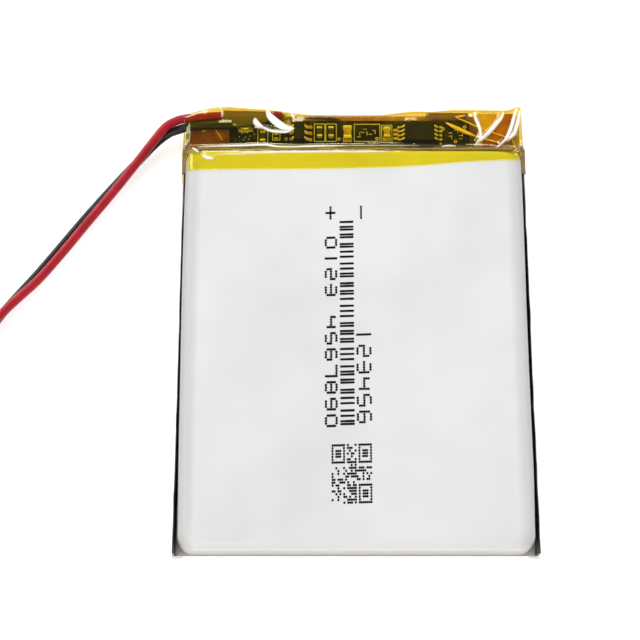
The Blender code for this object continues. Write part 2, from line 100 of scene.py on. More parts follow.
def roundRect(xLow, xHigh, yLow, yHigh, radius, steps=3, alongX=0, alongY=0):
    # outline of a rectangle with rounded corners, counter-clockwise from the right side:
    # a quarter circle at each corner and extra points evenly along the straight sides
    angle = np.linspace(0, math.pi / 2, steps + 1)
    arc = np.stack([np.cos(angle), np.sin(angle)], axis=1) * radius
    corners = [(xHigh - radius, yHigh - radius), (xLow + radius, yHigh - radius),
               (xLow + radius, yLow + radius), (xHigh - radius, yLow + radius)]
    parts = []
    for turn, centre in enumerate(corners):
        c, s = [(1, 0), (0, 1), (-1, 0), (0, -1)][turn]
        parts.append(arc @ np.array([[c, s], [-s, c]]) + centre)
        nextTurn = (turn + 1) % 4
        nc, ns = [(1, 0), (0, 1), (-1, 0), (0, -1)][nextTurn]
        start = parts[-1][-1]
        end = np.array([radius * nc, radius * ns]) + corners[nextTurn]
        count = alongX if turn % 2 == 0 else alongY
        share = (np.arange(count) + 1)[:, None] / (count + 1)
        parts.append(start + (end - start) * share)
    return np.vstack(parts)


def softBlock(low, high, edge=0.05, steps=2):
    # a block between two corners whose edges are all rounded: the outline is pulled in
    # over a quarter circle at the bottom and at the top
    angle = np.linspace(0, math.pi / 2, steps + 1)
    pull, rise = edge * (1 - np.sin(angle)), edge * (1 - np.cos(angle))
    levels = [(p, low[2] + r) for p, r in zip(pull, rise)]
    levels += [(p, high[2] - r) for p, r in zip(pull[::-1], rise[::-1])]
    rings = []
    for inset, z in levels:
        outline = roundRect(low[0] + inset, high[0] - inset, low[1] + inset, high[1] - inset, edge)
        rings.append(np.column_stack([outline, np.full(len(outline), z)]))
    return loftShape(rings)


def smoothLine(points, perSpan=24):
    # centripetal Catmull-Rom curve; the first three values of a point are its place
    pts = np.array(points, dtype=float)
    ends = np.vstack([2 * pts[0] - pts[1], pts, 2 * pts[-1] - pts[-2]])
    out = []
    for p0, p1, p2, p3 in zip(ends, ends[1:], ends[2:], ends[3:]):
        t1 = math.sqrt(np.linalg.norm((p1 - p0)[:3]))
        t2 = t1 + math.sqrt(np.linalg.norm((p2 - p1)[:3]))
        t3 = t2 + math.sqrt(np.linalg.norm((p3 - p2)[:3]))
        t = np.linspace(t1, t2, perSpan, endpoint=False)[:, None]
        a1 = (t1 - t) / t1 * p0 + t / t1 * p1
        a2 = (t2 - t) / (t2 - t1) * p1 + (t - t1) / (t2 - t1) * p2
        a3 = (t3 - t) / (t3 - t2) * p2 + (t - t2) / (t3 - t2) * p3
        b1 = (t2 - t) / t2 * a1 + t / t2 * a2
        b2 = (t3 - t) / (t3 - t1) * a2 + (t - t1) / (t3 - t1) * a3
        out.append((t2 - t) / (t2 - t1) * b1 + (t - t1) / (t2 - t1) * b2)
    out.append(pts[-1:])
    return np.vstack(out)


def evenLine(line, spacing):
    # the same line with its points an equal distance apart
    reach = np.concatenate([[0], np.cumsum(np.linalg.norm(np.diff(line, axis=0), axis=1))])
    at = np.linspace(0, reach[-1], int(round(reach[-1] / spacing)) + 1)
    return np.stack([np.interp(at, reach, line[:, axis]) for axis in range(line.shape[1])], axis=1)


def tubeShape(line, radius, around=24, rim=0.05):
    # a circle carried along a line, turned with it by the shortest way, its ends softened
    step = np.gradient(line, axis=0)
    step /= np.linalg.norm(step, axis=1)[:, None]
    normal = np.zeros_like(line)
    start = np.cross(step[0], [0.0, 0.0, 1.0])
    normal[0] = start / np.linalg.norm(start)
    for i in range(1, len(line)):
        carried = normal[i - 1] - step[i] * (normal[i - 1] @ step[i])
        normal[i] = carried / np.linalg.norm(carried)
    other = np.cross(step, normal)
    turn = np.linspace(0, 2 * math.pi, around, endpoint=False)
    radii = np.broadcast_to(np.asarray(radius, dtype=float), (len(line),))
    centre = np.vstack([line[:1] - step[:1] * rim, line, line[-1:] + step[-1:] * rim])
    normal = np.vstack([normal[:1], normal, normal[-1:]])
    other = np.vstack([other[:1], other, other[-1:]])
    radii = np.concatenate([[radii[0] - rim], radii, [radii[-1] - rim]])
    rings = centre[:, None, :] + radii[:, None, None] * (
        normal[:, None, :] * np.cos(turn)[None, :, None]
        + other[:, None, :] * np.sin(turn)[None, :, None])
    return loftShape(rings)


def easeBetween(value, low, high):
    # 0 below low, 1 above high, a smooth step between
    t = np.clip((value - low) / (high - low), 0, 1)
    return t * t * (3 - 2 * t)


view = {
    "aim": (-4.9, 0.2, 3.0),
    "distance": 192.0,
    "tilt": 15.0,     # degrees off straight down, from the cell's lower end
    "lens": 76.1,
}


def makeCamera():
    data = bpy.data.cameras.new("mainView")
    data.lens = view["lens"]
    data.sensor_width = 36
    data.clip_start, data.clip_end = 0.005, 20
    camera = bpy.data.objects.new("mainView", data)
    bpy.context.scene.collection.objects.link(camera)
    tilt = math.radians(view["tilt"])
    back = Vector((0, -math.sin(tilt), math.cos(tilt)))
    camera.location = (Vector(view["aim"]) + back * view["distance"]) * mm
    camera.rotation_euler = (tilt, 0, 0)
    bpy.context.scene.camera = camera


makeCamera()
print("camera placed")


def startMaterial(name):
    material = bpy.data.materials.new(name)
    material.use_nodes = True
    tree = material.node_tree
    return material, tree, tree.nodes["Principled BSDF"]


def addNode(tree, kind, **values):
    # a node with its sockets and settings given by name, spaces written as underscores
    node = tree.nodes.new(kind)
    for key, value in values.items():
        socket = node.inputs.get(key.replace("_", " "))
        if socket is not None:
            socket.default_value = value
        else:
            setattr(node, key, value)
    return node


def calculate(tree, operation, *terms):
    # one Math node; a term is a number or another node's output
    node = addNode(tree, "ShaderNodeMath", operation=operation)
    for socket, term in zip(node.inputs, terms):
        if isinstance(term, (int, float)):
            socket.default_value = term
        else:
            tree.links.new(term, socket)
    return node.outputs[0]


def colourRamp(tree, source, stops):
    # a colour ramp from (position, colour) pairs
    ramp = tree.nodes.new("ShaderNodeValToRGB")
    elements = ramp.color_ramp.elements
    while len(elements) < len(stops):
        elements.new(0.5)
    for element, (position, colour) in zip(elements, stops):
        element.position = position
        element.color = (*colour, 1)
    tree.links.new(source, ramp.inputs["Fac"])
    return ramp.outputs["Color"]


def mixColours(tree, factor, first, second):
    # first where the factor is 0, second where it is 1; each is a colour or an output
    node = addNode(tree, "ShaderNodeMix", data_type="RGBA")
    for socket, term in ((node.inputs["Factor"], factor), (node.inputs[6], first), (node.inputs[7], second)):
        if isinstance(term, tuple):
            socket.default_value = (*term, 1)
        elif isinstance(term, (int, float)):
            socket.default_value = term
        else:
            tree.links.new(term, socket)
    return node.outputs[2]


def rescale(tree, source, fromLow, fromHigh, low, high):
    node = tree.nodes.new("ShaderNodeMapRange")
    tree.links.new(source, node.inputs["Value"])
    for label, value in (("From Min", fromLow), ("From Max", fromHigh), ("To Min", low), ("To Max", high)):
        node.inputs[label].default_value = value
    return node.outputs["Result"]


def objectPlace(tree):
    return tree.nodes.new("ShaderNodeTexCoord").outputs["Object"]


def noiseOf(tree, place, scale, detail=2.0, roughness=0.5, stretch=None):
    # noise at a scale per metre, stretched by a Mapping node where one is given
    if stretch is not None:
        mapping = addNode(tree, "ShaderNodeMapping", Scale=stretch)
        tree.links.new(place, mapping.inputs["Vector"])
        place = mapping.outputs["Vector"]
    noise = addNode(tree, "ShaderNodeTexNoise", Scale=scale, Detail=detail, Roughness=roughness)
    tree.links.new(place, noise.inputs["Vector"])
    return noise.outputs["Fac"]


def bumpInto(tree, shader, height, strength, distance):
    bump = addNode(tree, "ShaderNodeBump", Strength=strength, Distance=distance)
    tree.links.new(height, bump.inputs["Height"])
    tree.links.new(bump.outputs["Normal"], shader.inputs["Normal"])


def makeGroup(name, inputs, outputs):
    group = bpy.data.node_groups.new(name, "ShaderNodeTree")
    for label, kind, default in inputs:
        socket = group.interface.new_socket(name=label, in_out="INPUT", socket_type=kind)
        if default is not None:
            socket.default_value = default
    for label, kind in outputs:
        group.interface.new_socket(name=label, in_out="OUTPUT", socket_type=kind)
    return group, group.nodes.new("NodeGroupInput"), group.nodes.new("NodeGroupOutput")


def makeGrainGroup():
    # fine surface grain: fine noise plus half as much of a coarse one, and the coarse one as a mask
    group, into, out = makeGroup(
        "fineGrain",
        [("Place", "NodeSocketVector", None), ("Grain Size", "NodeSocketFloat", 4000.0),
         ("Patch Size", "NodeSocketFloat", 250.0)],
        [("Height", "NodeSocketFloat"), ("Patches", "NodeSocketFloat")])
    fine = addNode(group, "ShaderNodeTexNoise", Detail=3.0, Roughness=0.6)
    patch = addNode(group, "ShaderNodeTexNoise", Detail=2.0, Roughness=0.5)
    for noise, size in ((fine, "Grain Size"), (patch, "Patch Size")):
        group.links.new(into.outputs["Place"], noise.inputs["Vector"])
        group.links.new(into.outputs[size], noise.inputs["Scale"])
    height = calculate(group, "MULTIPLY_ADD", patch.outputs["Fac"], 0.5, fine.outputs["Fac"])
    group.links.new(height, out.inputs["Height"])
    group.links.new(patch.outputs["Fac"], out.inputs["Patches"])
    return group


def makeScuffGroup():
    # thin rub marks: noise stretched along one direction, cut down to its peaks
    group, into, out = makeGroup(
        "rubMarks",
        [("Place", "NodeSocketVector", None), ("Mark Size", "NodeSocketFloat", 900.0),
         ("Amount", "NodeSocketFloat", 0.3)],
        [("Marks", "NodeSocketFloat")])
    stretch = addNode(group, "ShaderNodeMapping", Scale=(1.0, 0.07, 1.0), Rotation=(0, 0, 0.35))
    noise = addNode(group, "ShaderNodeTexNoise", Detail=4.0, Roughness=0.65, Distortion=0.4)
    group.links.new(into.outputs["Place"], stretch.inputs["Vector"])
    group.links.new(stretch.outputs["Vector"], noise.inputs["Vector"])
    group.links.new(into.outputs["Mark Size"], noise.inputs["Scale"])
    cut = rescale(group, noise.outputs["Fac"], 0.62, 0.78, 0.0, 1.0)
    group.links.new(calculate(group, "MULTIPLY", cut, into.outputs["Amount"]), out.inputs["Marks"])
    return group


grainGroup = makeGrainGroup()
scuffGroup = makeScuffGroup()


def placeGroup(tree, group, place, **values):
    node = tree.nodes.new("ShaderNodeGroup")
    node.node_tree = group
    tree.links.new(place, node.inputs["Place"])
    for key, value in values.items():
        node.inputs[key.replace("_", " ")].default_value = value
    return node


def grainyFinish(name, dark, light, rough=(0.35, 0.5), metallic=0.0, grain=4000.0,
                 patch=300.0, bump=0.2, depth=0.00002, coat=0.0, marks=0.0, markColour=(0.8, 0.8, 0.8),
                 gloss=0.5):
    # two close tones in soft patches, rub marks, fine grain in the bump and an uneven shine
    material, tree, shader = startMaterial(name)
    place = objectPlace(tree)
    fine = placeGroup(tree, grainGroup, place, Grain_Size=grain, Patch_Size=patch)
    tone = colourRamp(tree, fine.outputs["Patches"], [(0.35, dark), (0.65, light)])
    if marks:
        rubs = placeGroup(tree, scuffGroup, place, Mark_Size=patch * 4, Amount=marks)
        tone = mixColours(tree, rubs.outputs["Marks"], tone, markColour)
    tree.links.new(tone, shader.inputs["Base Color"])
    tree.links.new(rescale(tree, fine.outputs["Patches"], 0.3, 0.7, rough[1], rough[0]),
                   shader.inputs["Roughness"])
    shader.inputs["Metallic"].default_value = metallic
    shader.inputs["Coat Weight"].default_value = coat
    shader.inputs["Specular IOR Level"].default_value = gloss
    bumpInto(tree, shader, fine.outputs["Height"], bump, depth)
    return material


leads = {
    "diameter": 1.3,
    "pitch": 1.36,
    "neckPitch": 1.6,
    "endPitch": 2.0,
    "end": -58.5,
    "channelLevel": 2.25,
    "coreDiameter": 0.5,
    "length": {"red": 114.3, "black": 107.4},
    "exit": {"red": (-25.3, 31.1, 2.6), "black": (-25.3, 29.9, 2.3)},
    "pointSpacing": 0.5,
    "redTones": ((0.29, 0.006, 0.012), (0.40, 0.011, 0.020)),
    "blackTones": ((0.005, 0.005, 0.0055), (0.011, 0.0105, 0.011)),
}

# middle line of the pair: x, y, z, turn of the pair in degrees, distance between the leads
closePitch, openPitch = leads["pitch"], leads["endPitch"]
pairRoute = [
    (-25.2, 30.5, 2.35, 160, closePitch), (-27.2, 29.7, 2.25, 125, closePitch),
    (-28.9, 28.2, 2.00, 96, closePitch), (-31.5, 25.2, 1.55, 74, closePitch),
    (-35.3, 20.5, 1.24, 53, closePitch), (-39.0, 15.8, 1.17, 45, closePitch),
    (-42.4, 11.3, 1.15, 42, closePitch), (-46.0, 6.7, 1.17, 46, closePitch),
    (-49.4, 2.9, 1.30, 66, closePitch), (-52.3, -0.9, 1.35, 80, closePitch),
    (-54.4, -5.2, 1.33, 74, closePitch), (-55.8, -10.5, 1.20, 50, closePitch),
    (-56.4, -17.0, 0.94, 22, closePitch), (-56.5, -25.0, 0.70, 0, closePitch),
    (-56.5, -35.0, 0.70, 0, closePitch), (-56.5, -45.0, 0.74, 0, closePitch),
    (-56.5, -51.5, 1.35, 0, leads["neckPitch"]), (-56.5, -55.5, 2.10, 0, openPitch),
    (-56.5, leads["end"], leads["channelLevel"], 0, openPitch),
]
redHead = [(-10.6, 31.8, 2.30), (-15.0, 31.8, 2.20), (-19.0, 31.8, 2.20), (-22.5, 31.55, 2.20)]
blackHead = [(-18.0, 29.9, 3.20), (-20.0, 29.9, 3.10), (-22.6, 29.95, 2.75)]
redBareEnd = [(-10.8, 31.8, 2.32), (-10.3, 31.7, 2.6), (-9.95, 31.3, 2.95), (-9.8, 31.0, 2.95)]
blackBareEnd = [(-17.7, 29.9, 3.15), (-17.3, 29.9, 3.0), (-17.05, 29.9, 2.9)]


def leadLine(head, side):
    # own head points, then half a pitch off the pair's middle line, turned about it
    pair = smoothLine(pairRoute, 16)
    middle, turn, pitch = pair[:, :3], np.radians(pair[:, 3]), pair[:, 4]
    along = np.gradient(middle, axis=0)
    across = np.stack([-along[:, 1], along[:, 0]], axis=1)
    across /= np.linalg.norm(across, axis=1)[:, None]
    offset = np.zeros_like(middle)
    offset[:, :2] = across * np.cos(turn)[:, None]
    offset[:, 2] = np.sin(turn)
    outside = middle + side * offset * pitch[:, None] / 2
    return evenLine(smoothLine(head + [tuple(p) for p in outside[::8]]), leads["pointSpacing"])


solderFinish = grainyFinish("brightSolder", (0.20, 0.19, 0.17), (0.52, 0.51, 0.47), (0.24, 0.42),
                            metallic=0.8, grain=9000, patch=1200, bump=0.35)


def makeLead(name, head, side, tones, bareEnd):
    # the insulated lead and its bare end, both round tubes along their lines
    dark, light = tones
    insulation = grainyFinish(name + "Insulation", dark, light, (0.30, 0.46), grain=5200, patch=420,
                              bump=0.25, coat=0.08, marks=0.10, gloss=0.28,
                              markColour=tuple(min(1, c * 1.4 + 0.05) for c in light))
    line = leadLine(head, side)
    wire = putMesh(name + "Lead", *tubeShape(line, leads["diameter"] / 2, 28), insulation,
                   name + "_insulation", [name + "_lead"])
    putMesh(name + "LeadBareEnd", *tubeShape(smoothLine(bareEnd, 8), leads["coreDiameter"] / 2, 14),
            solderFinish, "solder", [name + "_lead_core"])
    return wire, line


redLead, redLine = makeLead("red", redHead, 1, leads["redTones"], redBareEnd)
blackLead, blackLine = makeLead("black", blackHead, -1, leads["blackTones"], blackBareEnd)
print("leads laid")


laminate = {
    "thickness": 0.12,
    "halfWidth": 24.5,
    "bottom": -32.55,
    "top": 25.9,
    "front": 6.0,
    "rounding": 1.55,       # how far the rounded edge reaches in from the wall
    "roundingHeight": 1.5,
    "terrace": 0.70,
    "terraceEnd": 32.4,
    "terraceHalfWidth": 24.75,
    "leftBulge": 0.16,
    "tones": ((0.628, 0.638, 0.630), (0.668, 0.674, 0.664)),
}


def laminateFinish():
    # satin polymer skin over foil: faint cloudy tone, very fine grain, a few faint rub marks
    material, tree, shader = startMaterial("whiteLaminate")
    place = objectPlace(tree)
    fine = placeGroup(tree, grainGroup, place, Grain_Size=9000.0, Patch_Size=90.0)
    rubs = placeGroup(tree, scuffGroup, place, Mark_Size=420.0, Amount=0.10)
    dark, light = laminate["tones"]
    tone = colourRamp(tree, fine.outputs["Patches"], [(0.35, dark), (0.65, light)])
    tone = mixColours(tree, rubs.outputs["Marks"], tone, (0.72, 0.73, 0.73))
    # painted shade: greyer over the side edges, and darker and warmer down the walls
    split = tree.nodes.new("ShaderNodeSeparateXYZ")
    tree.links.new(place, split.inputs["Vector"])
    across = calculate(tree, "ABSOLUTE", split.outputs["X"], 0.0)
    paintedEdgeShade = rescale(tree, across, 0.0218, 0.0243, 0.0, 0.85)
    tone = mixColours(tree, paintedEdgeShade, tone, (0.36, 0.358, 0.350))
    # painted shade down the walls: below the front the laminate is mixed towards a darker, warmer grey
    down = rescale(tree, split.outputs["Z"], 0.0038, 0.0052, 0.8, 0.0)
    tree.links.new(mixColours(tree, down, tone, (0.44, 0.395, 0.36)), shader.inputs["Base Color"])
    soft = rescale(tree, fine.outputs["Patches"], 0.3, 0.7, 0.46, 0.56)
    tree.links.new(calculate(tree, "ADD", soft, rubs.outputs["Marks"]), shader.inputs["Roughness"])
    shader.inputs["Metallic"].default_value = 0.12
    bumpInto(tree, shader, fine.outputs["Height"], 0.06, 0.00002)
    return material


whiteLaminate = laminateFinish()


def frontHeight(x, y):
    # the front is level in its middle, falls a little towards its edges and has one shallow
    # pucker near the lower edge
    edge = np.minimum(laminate["halfWidth"] - np.abs(x), y - laminate["bottom"])
    fall = 0.10 * (1 - easeBetween(edge, 1.5, 6.0))
    pucker = 0.05 * np.exp(-((x + 5.5) / 2.6) ** 2 - ((y + 31.2) / 0.9) ** 2)
    return laminate["front"] - fall - pucker


def makeFront():
    # outlines of a rounded rectangle: one round the terrace, one up each level of the wall,
    # a quarter ellipse over the edge, then closer and closer outlines across the front
    size = laminate
    walls = [(-0.25, size["terraceEnd"], 0.4, size["terrace"]), (0.0, size["top"], 2.1, size["terrace"]),
             (0.02, size["top"] - 0.05, 2.1, 1.1)]
    turn = np.linspace(0, math.pi / 2, 12)
    topStart = size["front"] - size["roundingHeight"]
    walls += [(0.05 + 0.12 * t, size["top"] - 0.08 - 0.15 * t, 2.1, 1.1 + (topStart - 1.1) * t)
              for t in np.linspace(0.2, 0.9, 4)]
    walls += [(0.18 + size["rounding"] * (1 - math.cos(a)),
               size["top"] - 0.25 - size["rounding"] * (1 - math.cos(a)),
               2.1 + 0.4 * math.sin(a), topStart + size["roundingHeight"] * math.sin(a)) for a in turn]
    lastInset, lastTop = walls[-1][0], walls[-1][1]
    inner = np.concatenate([np.linspace(0.25, 5, 12), np.linspace(6, 21, 14)])
    walls += [(lastInset + d, lastTop - d, max(2.5 - d, 0.3), size["front"]) for d in inner]
    rings = []
    for inset, top, radius, z in walls:
        half = size["halfWidth"] - inset
        low = size["bottom"] + inset * (1.0 if inset > 0 else 0.4)
        outline = roundRect(-half, half, low, top, radius, 10, 70, 90)
        rings.append(np.column_stack([outline, np.full(len(outline), z)]))
    rings = np.asarray(rings)
    x, y, z = rings[..., 0], rings[..., 1], rings[..., 2]
    high = easeBetween(z, 3.0, 5.2)
    rings[..., 2] = np.where(z > topStart, topStart + (z - topStart) / size["roundingHeight"]
                             * (frontHeight(x, y) - topStart), z)
    bulge = size["leftBulge"] * np.exp(-((y - 8) / 16) ** 2) - 0.22 * easeBetween(-y, 14, 33)
    rightPull = -0.10 * np.exp(-((y + 4) / 14) ** 2) - 0.22 * easeBetween(-y, 20, 33)
    edgeShare = easeBetween(np.abs(x), 14, 24)
    rings[..., 0] = x + edgeShare * high * np.where(x < 0, -bulge, rightPull)
    sides = gridFaces(len(rings), rings.shape[1], wrapped=True).tolist()
    cap = [(len(rings) - 1) * rings.shape[1] + i for i in range(rings.shape[1])]
    piece = putMesh("pouchFront", rings.reshape(-1, 3), sides + [cap], whiteLaminate, "laminate",
                    ["pouch_cup"], smoothAngle=50)
    wall = piece.modifiers.new("wall", "SOLIDIFY")
    wall.thickness = size["thickness"] * mm
    wall.offset = -1
    return piece


sides = {
    "fold": 25.22,        # half width at the fold, above the back
    "lowerFold": 25.30,   # the same at the lower end
    "top": 24.78,
    "height": 4.45,
    "end": -32.7,
    "upperEnd": 26.2,
    "earTip": -33.2,
    "earWidth": 1.2,
}


def sealFinish():
    # folded side seal: pale foil near the film, and further down a glossy painted dark reflection, with
    # pressed ribs
    material, tree, shader = startMaterial("sideSeal")
    place = objectPlace(tree)
    split = tree.nodes.new("ShaderNodeSeparateXYZ")
    tree.links.new(place, split.inputs["Vector"])
    uneven = noiseOf(tree, place, 600, 3, 0.6, (1, 0.15, 1))
    along = calculate(tree, "MULTIPLY_ADD", uneven, 0.003, split.outputs["Y"])
    fine = placeGroup(tree, grainGroup, place, Grain_Size=6000.0, Patch_Size=500.0)
    # the near-black stops further down are a painted dark reflection, not the seal's own colour
    tone = colourRamp(tree, rescale(tree, along, -0.030, 0.026, 0, 1), [
        (0.0, (0.016, 0.026, 0.030)), (0.35, (0.008, 0.010, 0.011)), (0.78, (0.006, 0.007, 0.007)),
        (0.86, (0.10, 0.10, 0.09)), (0.95, (0.32, 0.33, 0.34))])
    speck = rescale(tree, fine.outputs["Patches"], 0.62, 0.75, 0.0, 0.25)
    tree.links.new(mixColours(tree, speck, tone, (0.16, 0.17, 0.16)), shader.inputs["Base Color"])
    tree.links.new(rescale(tree, fine.outputs["Patches"], 0.3, 0.7, 0.22, 0.40), shader.inputs["Roughness"])
    shader.inputs["Metallic"].default_value = 0.25
    bumpInto(tree, shader, fine.outputs["Height"], 0.3, 0.00003)
    return material


sealWithPaintedReflection = sealFinish()
clearCorner = grainyFinish("clearCorner", (0.80, 0.81, 0.82), (0.90, 0.91, 0.92), (0.3, 0.45), grain=6000,
                           patch=700, bump=0.3)
clearCorner.node_tree.nodes["Principled BSDF"].inputs["Alpha"].default_value = 0.5


def makeSideSeal(name, side):
    # a hairpin profile, out round the bottom corner, up, over and down inside, carried along y;
    # it leans a little more or less along the way and ends in closed faces
    rows = np.linspace(sides["end"], sides["upperEnd"], 90)
    drop = easeBetween(-rows, 10, 33)
    out = sides["fold"] + (sides["lowerFold"] - sides["fold"]) * drop - (0.16 * drop if side > 0 else 0)
    wave = 0.035 * np.sin(rows * 0.9 + side) * np.sin(rows * 0.23 + 1.3)
    top = sides["top"] + wave + 0.10 * drop
    height = sides["height"] + 0.12 * np.sin(rows * 0.31 + side * 0.8) + 0.05 * np.sin(rows * 1.7)
    profile = [   # share towards the top edge, x step off the outer line, z share
        (0.0, -0.42, 0.03), (0.0, -0.10, 0.06), (0.05, 0.0, 0.14), (0.35, 0.0, 0.35), (0.7, 0.0, 0.68),
        (0.95, 0.0, 0.93), (1.0, -0.05, 0.99), (1.0, -0.13, 1.0), (1.0, -0.20, 0.97), (0.9, -0.22, 0.80),
        (0.5, -0.28, 0.45), (0.2, -0.33, 0.20), (0.0, -0.46, 0.10)]
    lean, step, rise = np.array(profile).T
    x = out[:, None] + (top - out)[:, None] * lean + step
    z = height[:, None] * rise
    rings = np.stack([side * x, np.broadcast_to(rows[:, None], x.shape), z], axis=-1)
    putMesh(name, *loftShape(rings), sealWithPaintedReflection, "laminate")


def makeBack():
    # flat sheet with two small ears, made as a closed thin slab;
    # it lies on the floor up to the film and steps up by the film's thickness over it
    wall = laminate["thickness"]
    half = laminate["terraceHalfWidth"] + 0.12
    tip, ear = sides["earTip"], sides["earWidth"]
    columns = np.concatenate([[-half - 0.3, -half + 0.2], np.linspace(-half + ear, half - ear, 30),
                              [half - 0.2, half + 0.3]])
    rows = np.concatenate([[sides["end"]], np.linspace(-31, 17, 25), [18.5, 18.9, 22, 26, 30, 32.4]])
    x, y = np.meshgrid(columns, rows)
    z = 0.10 * easeBetween(y, 18.45, 18.95) + 0.012
    x = np.where((np.abs(x) > half) & (y > 20), np.sign(x) * half, x)
    lower = np.stack([x, y, z], axis=-1)
    points = np.concatenate([lower.reshape(-1, 3), (lower + [0, 0, wall]).reshape(-1, 3)])
    count = x.size
    face = gridFaces(len(rows), len(columns))
    faces = face[:, ::-1].tolist() + (face + count).tolist()
    rim = np.concatenate([np.arange(len(columns)), len(columns) * np.arange(1, len(rows)) + len(columns) - 1,
                          count - 2 - np.arange(len(columns) - 1),
                          len(columns) * np.arange(len(rows) - 2, 0, -1)])
    faces += [[a, b, b + count, a + count] for a, b in zip(rim, np.roll(rim, -1))]
    putMesh("pouchBack", points, faces, whiteLaminate, "laminate", ["pouch_back_sheet"])
    # its cut corners are clear skin without foil: a narrow strip that widens to a slanted end
    for name, side, start in (("lowerEarLeft", -1, -31.4), ("lowerEarRight", 1, -29.8)):
        rings = []
        for share in np.linspace(0, 1, 9):
            at = start + (tip - start) * share
            outer = half + 0.36 + 0.16 * share
            inner = half + 0.30 - (0.30 + ear * easeBetween(share, 0.6, 1.0)) * share
            lift = 0.03 + 0.05 * math.sin(4 * share) ** 2
            slant = 0.30 * easeBetween(share, 0.7, 1.0)
            rings.append([(side * inner, at + slant, lift), (side * outer, at, lift),
                          (side * outer, at, lift + wall), (side * inner, at + slant, lift + wall)])
        putMesh(name, *loftShape(rings), clearCorner, "laminate")


makeFront()
makeBack()
makeSideSeal("sideSealLeft", -1)
makeSideSeal("sideSealRight", 1)
print("pouch made")


board = {
    "low": (-18.3, 26.55, 1.66),
    "high": (17.2, 30.95, 2.46),
    "copper": 0.03,
    "printWidth": 0.13,
    "partFloor": 2.49,
}
onBoard = board["high"][2]


def maskFinish():
    # dark green mask: copper runs show through as paler lanes, a crossing of two wave patterns,
    # and the cut edges show the pale laminate of the board
    material, tree, shader = startMaterial("boardMask")
    place = objectPlace(tree)
    fine = placeGroup(tree, grainGroup, place, Grain_Size=7000.0, Patch_Size=700.0)
    lanes = addNode(tree, "ShaderNodeTexWave", Scale=420.0, Distortion=6.0, Detail=1.0, Detail_Scale=1.2)
    lanes.bands_direction = "X"
    tree.links.new(place, lanes.inputs["Vector"])
    blocks = addNode(tree, "ShaderNodeTexVoronoi", Scale=520.0)
    tree.links.new(place, blocks.inputs["Vector"])
    copper = calculate(tree, "MULTIPLY", rescale(tree, lanes.outputs["Fac"], 0.45, 0.6, 0, 1),
                       rescale(tree, blocks.outputs["Distance"], 0.25, 0.45, 1, 0))
    tone = mixColours(tree, copper, (0.008, 0.008, 0.003), (0.034, 0.029, 0.009))
    shader.inputs["Specular IOR Level"].default_value = 0.2
    split = tree.nodes.new("ShaderNodeSeparateXYZ")
    tree.links.new(place, split.inputs["Vector"])
    edge = rescale(tree, split.outputs["Z"], (onBoard - 0.10) * mm, (onBoard - 0.06) * mm, 1, 0)
    tree.links.new(mixColours(tree, edge, tone, (0.22, 0.18, 0.08)), shader.inputs["Base Color"])
    tree.links.new(rescale(tree, fine.outputs["Patches"], 0.3, 0.7, 0.22, 0.38), shader.inputs["Roughness"])
    bumpInto(tree, shader, calculate(tree, "MULTIPLY_ADD", copper, 2.0, fine.outputs["Height"]), 0.3, 0.00002)
    return material


boardMask = maskFinish()
goldPads = grainyFinish("goldPads", (0.66, 0.42, 0.16), (0.90, 0.66, 0.32), (0.25, 0.45), metallic=0.35,
                        grain=9000, patch=2200, bump=0.3)
palePrint = grainyFinish("palePrint", (0.42, 0.41, 0.34), (0.58, 0.57, 0.50), (0.5, 0.7),
                         grain=9000, patch=1500, bump=0.3)
chipMould = grainyFinish("chipMould", (0.006, 0.0052, 0.0048), (0.012, 0.0105, 0.0095), (0.5, 0.65),
                         gloss=0.2,
                         grain=8000, patch=900, bump=0.6)
resistorGlaze = grainyFinish("resistorGlaze", (0.020, 0.016, 0.013), (0.045, 0.034, 0.026), (0.25, 0.4),
                             grain=8000, patch=1500)
tanCeramic = grainyFinish("tanCeramic", (0.36, 0.22, 0.07), (0.50, 0.33, 0.12), (0.35, 0.5),
                          grain=9000, patch=1500, bump=0.4)
tinnedEnds = grainyFinish("tinnedEnds", (0.62, 0.56, 0.46), (0.90, 0.84, 0.72), (0.25, 0.45), metallic=0.35,
                          grain=9000, patch=2500, bump=0.4)


def flatPatch(xLow, xHigh, yLow, yHigh, height=None, radius=0.05, base=None):
    # a thin rounded plate on the board
    base = onBoard if base is None else base
    height = board["copper"] if height is None else height
    outline = roundRect(xLow, xHigh, yLow, yHigh, radius, 2)
    return loftShape([np.column_stack([outline, np.full(len(outline), z)])
                      for z in (base - 0.02, base + height)])


def printFrame(xLow, xHigh, yLow, yHigh, radius=0.12):
    # an outline drawn as a closed band: outer and inner rounded rectangles, top and bottom
    w = board["printWidth"]
    outer = roundRect(xLow, xHigh, yLow, yHigh, radius, 3)
    inner = roundRect(xLow + w, xHigh - w, yLow + w, yHigh - w, radius * 0.6, 3)
    n, low, high = len(outer), onBoard - 0.02, onBoard + 0.03
    rings = [np.column_stack([o, np.full(n, z)]) for o, z in
             ((outer, low), (outer, high), (inner, high), (inner, low))]
    faces = gridFaces(4, n, wrapped=True).tolist()
    faces += [[3 * n + i, 3 * n + (i + 1) % n, (i + 1) % n, i] for i in range(n)]
    return np.vstack(rings), faces


def ringPad(x, y, outer, inner, height=0.03):
    # a flat ring round a hole: outer and inner circle, top and bottom
    turn = np.linspace(0, 2 * math.pi, 20, endpoint=False)
    circle = np.stack([np.cos(turn), np.sin(turn)], axis=1)
    low, high = onBoard - 0.02, onBoard + height
    rings = [np.column_stack([circle * r + [x, y], np.full(20, z)]) for r, z in
             ((outer, low), (outer, high), (inner, high), (inner, low))]
    faces = gridFaces(4, 20, wrapped=True).tolist()
    faces += [[60 + i, 60 + (i + 1) % 20, (i + 1) % 20, i] for i in range(20)]
    return np.vstack(rings), faces


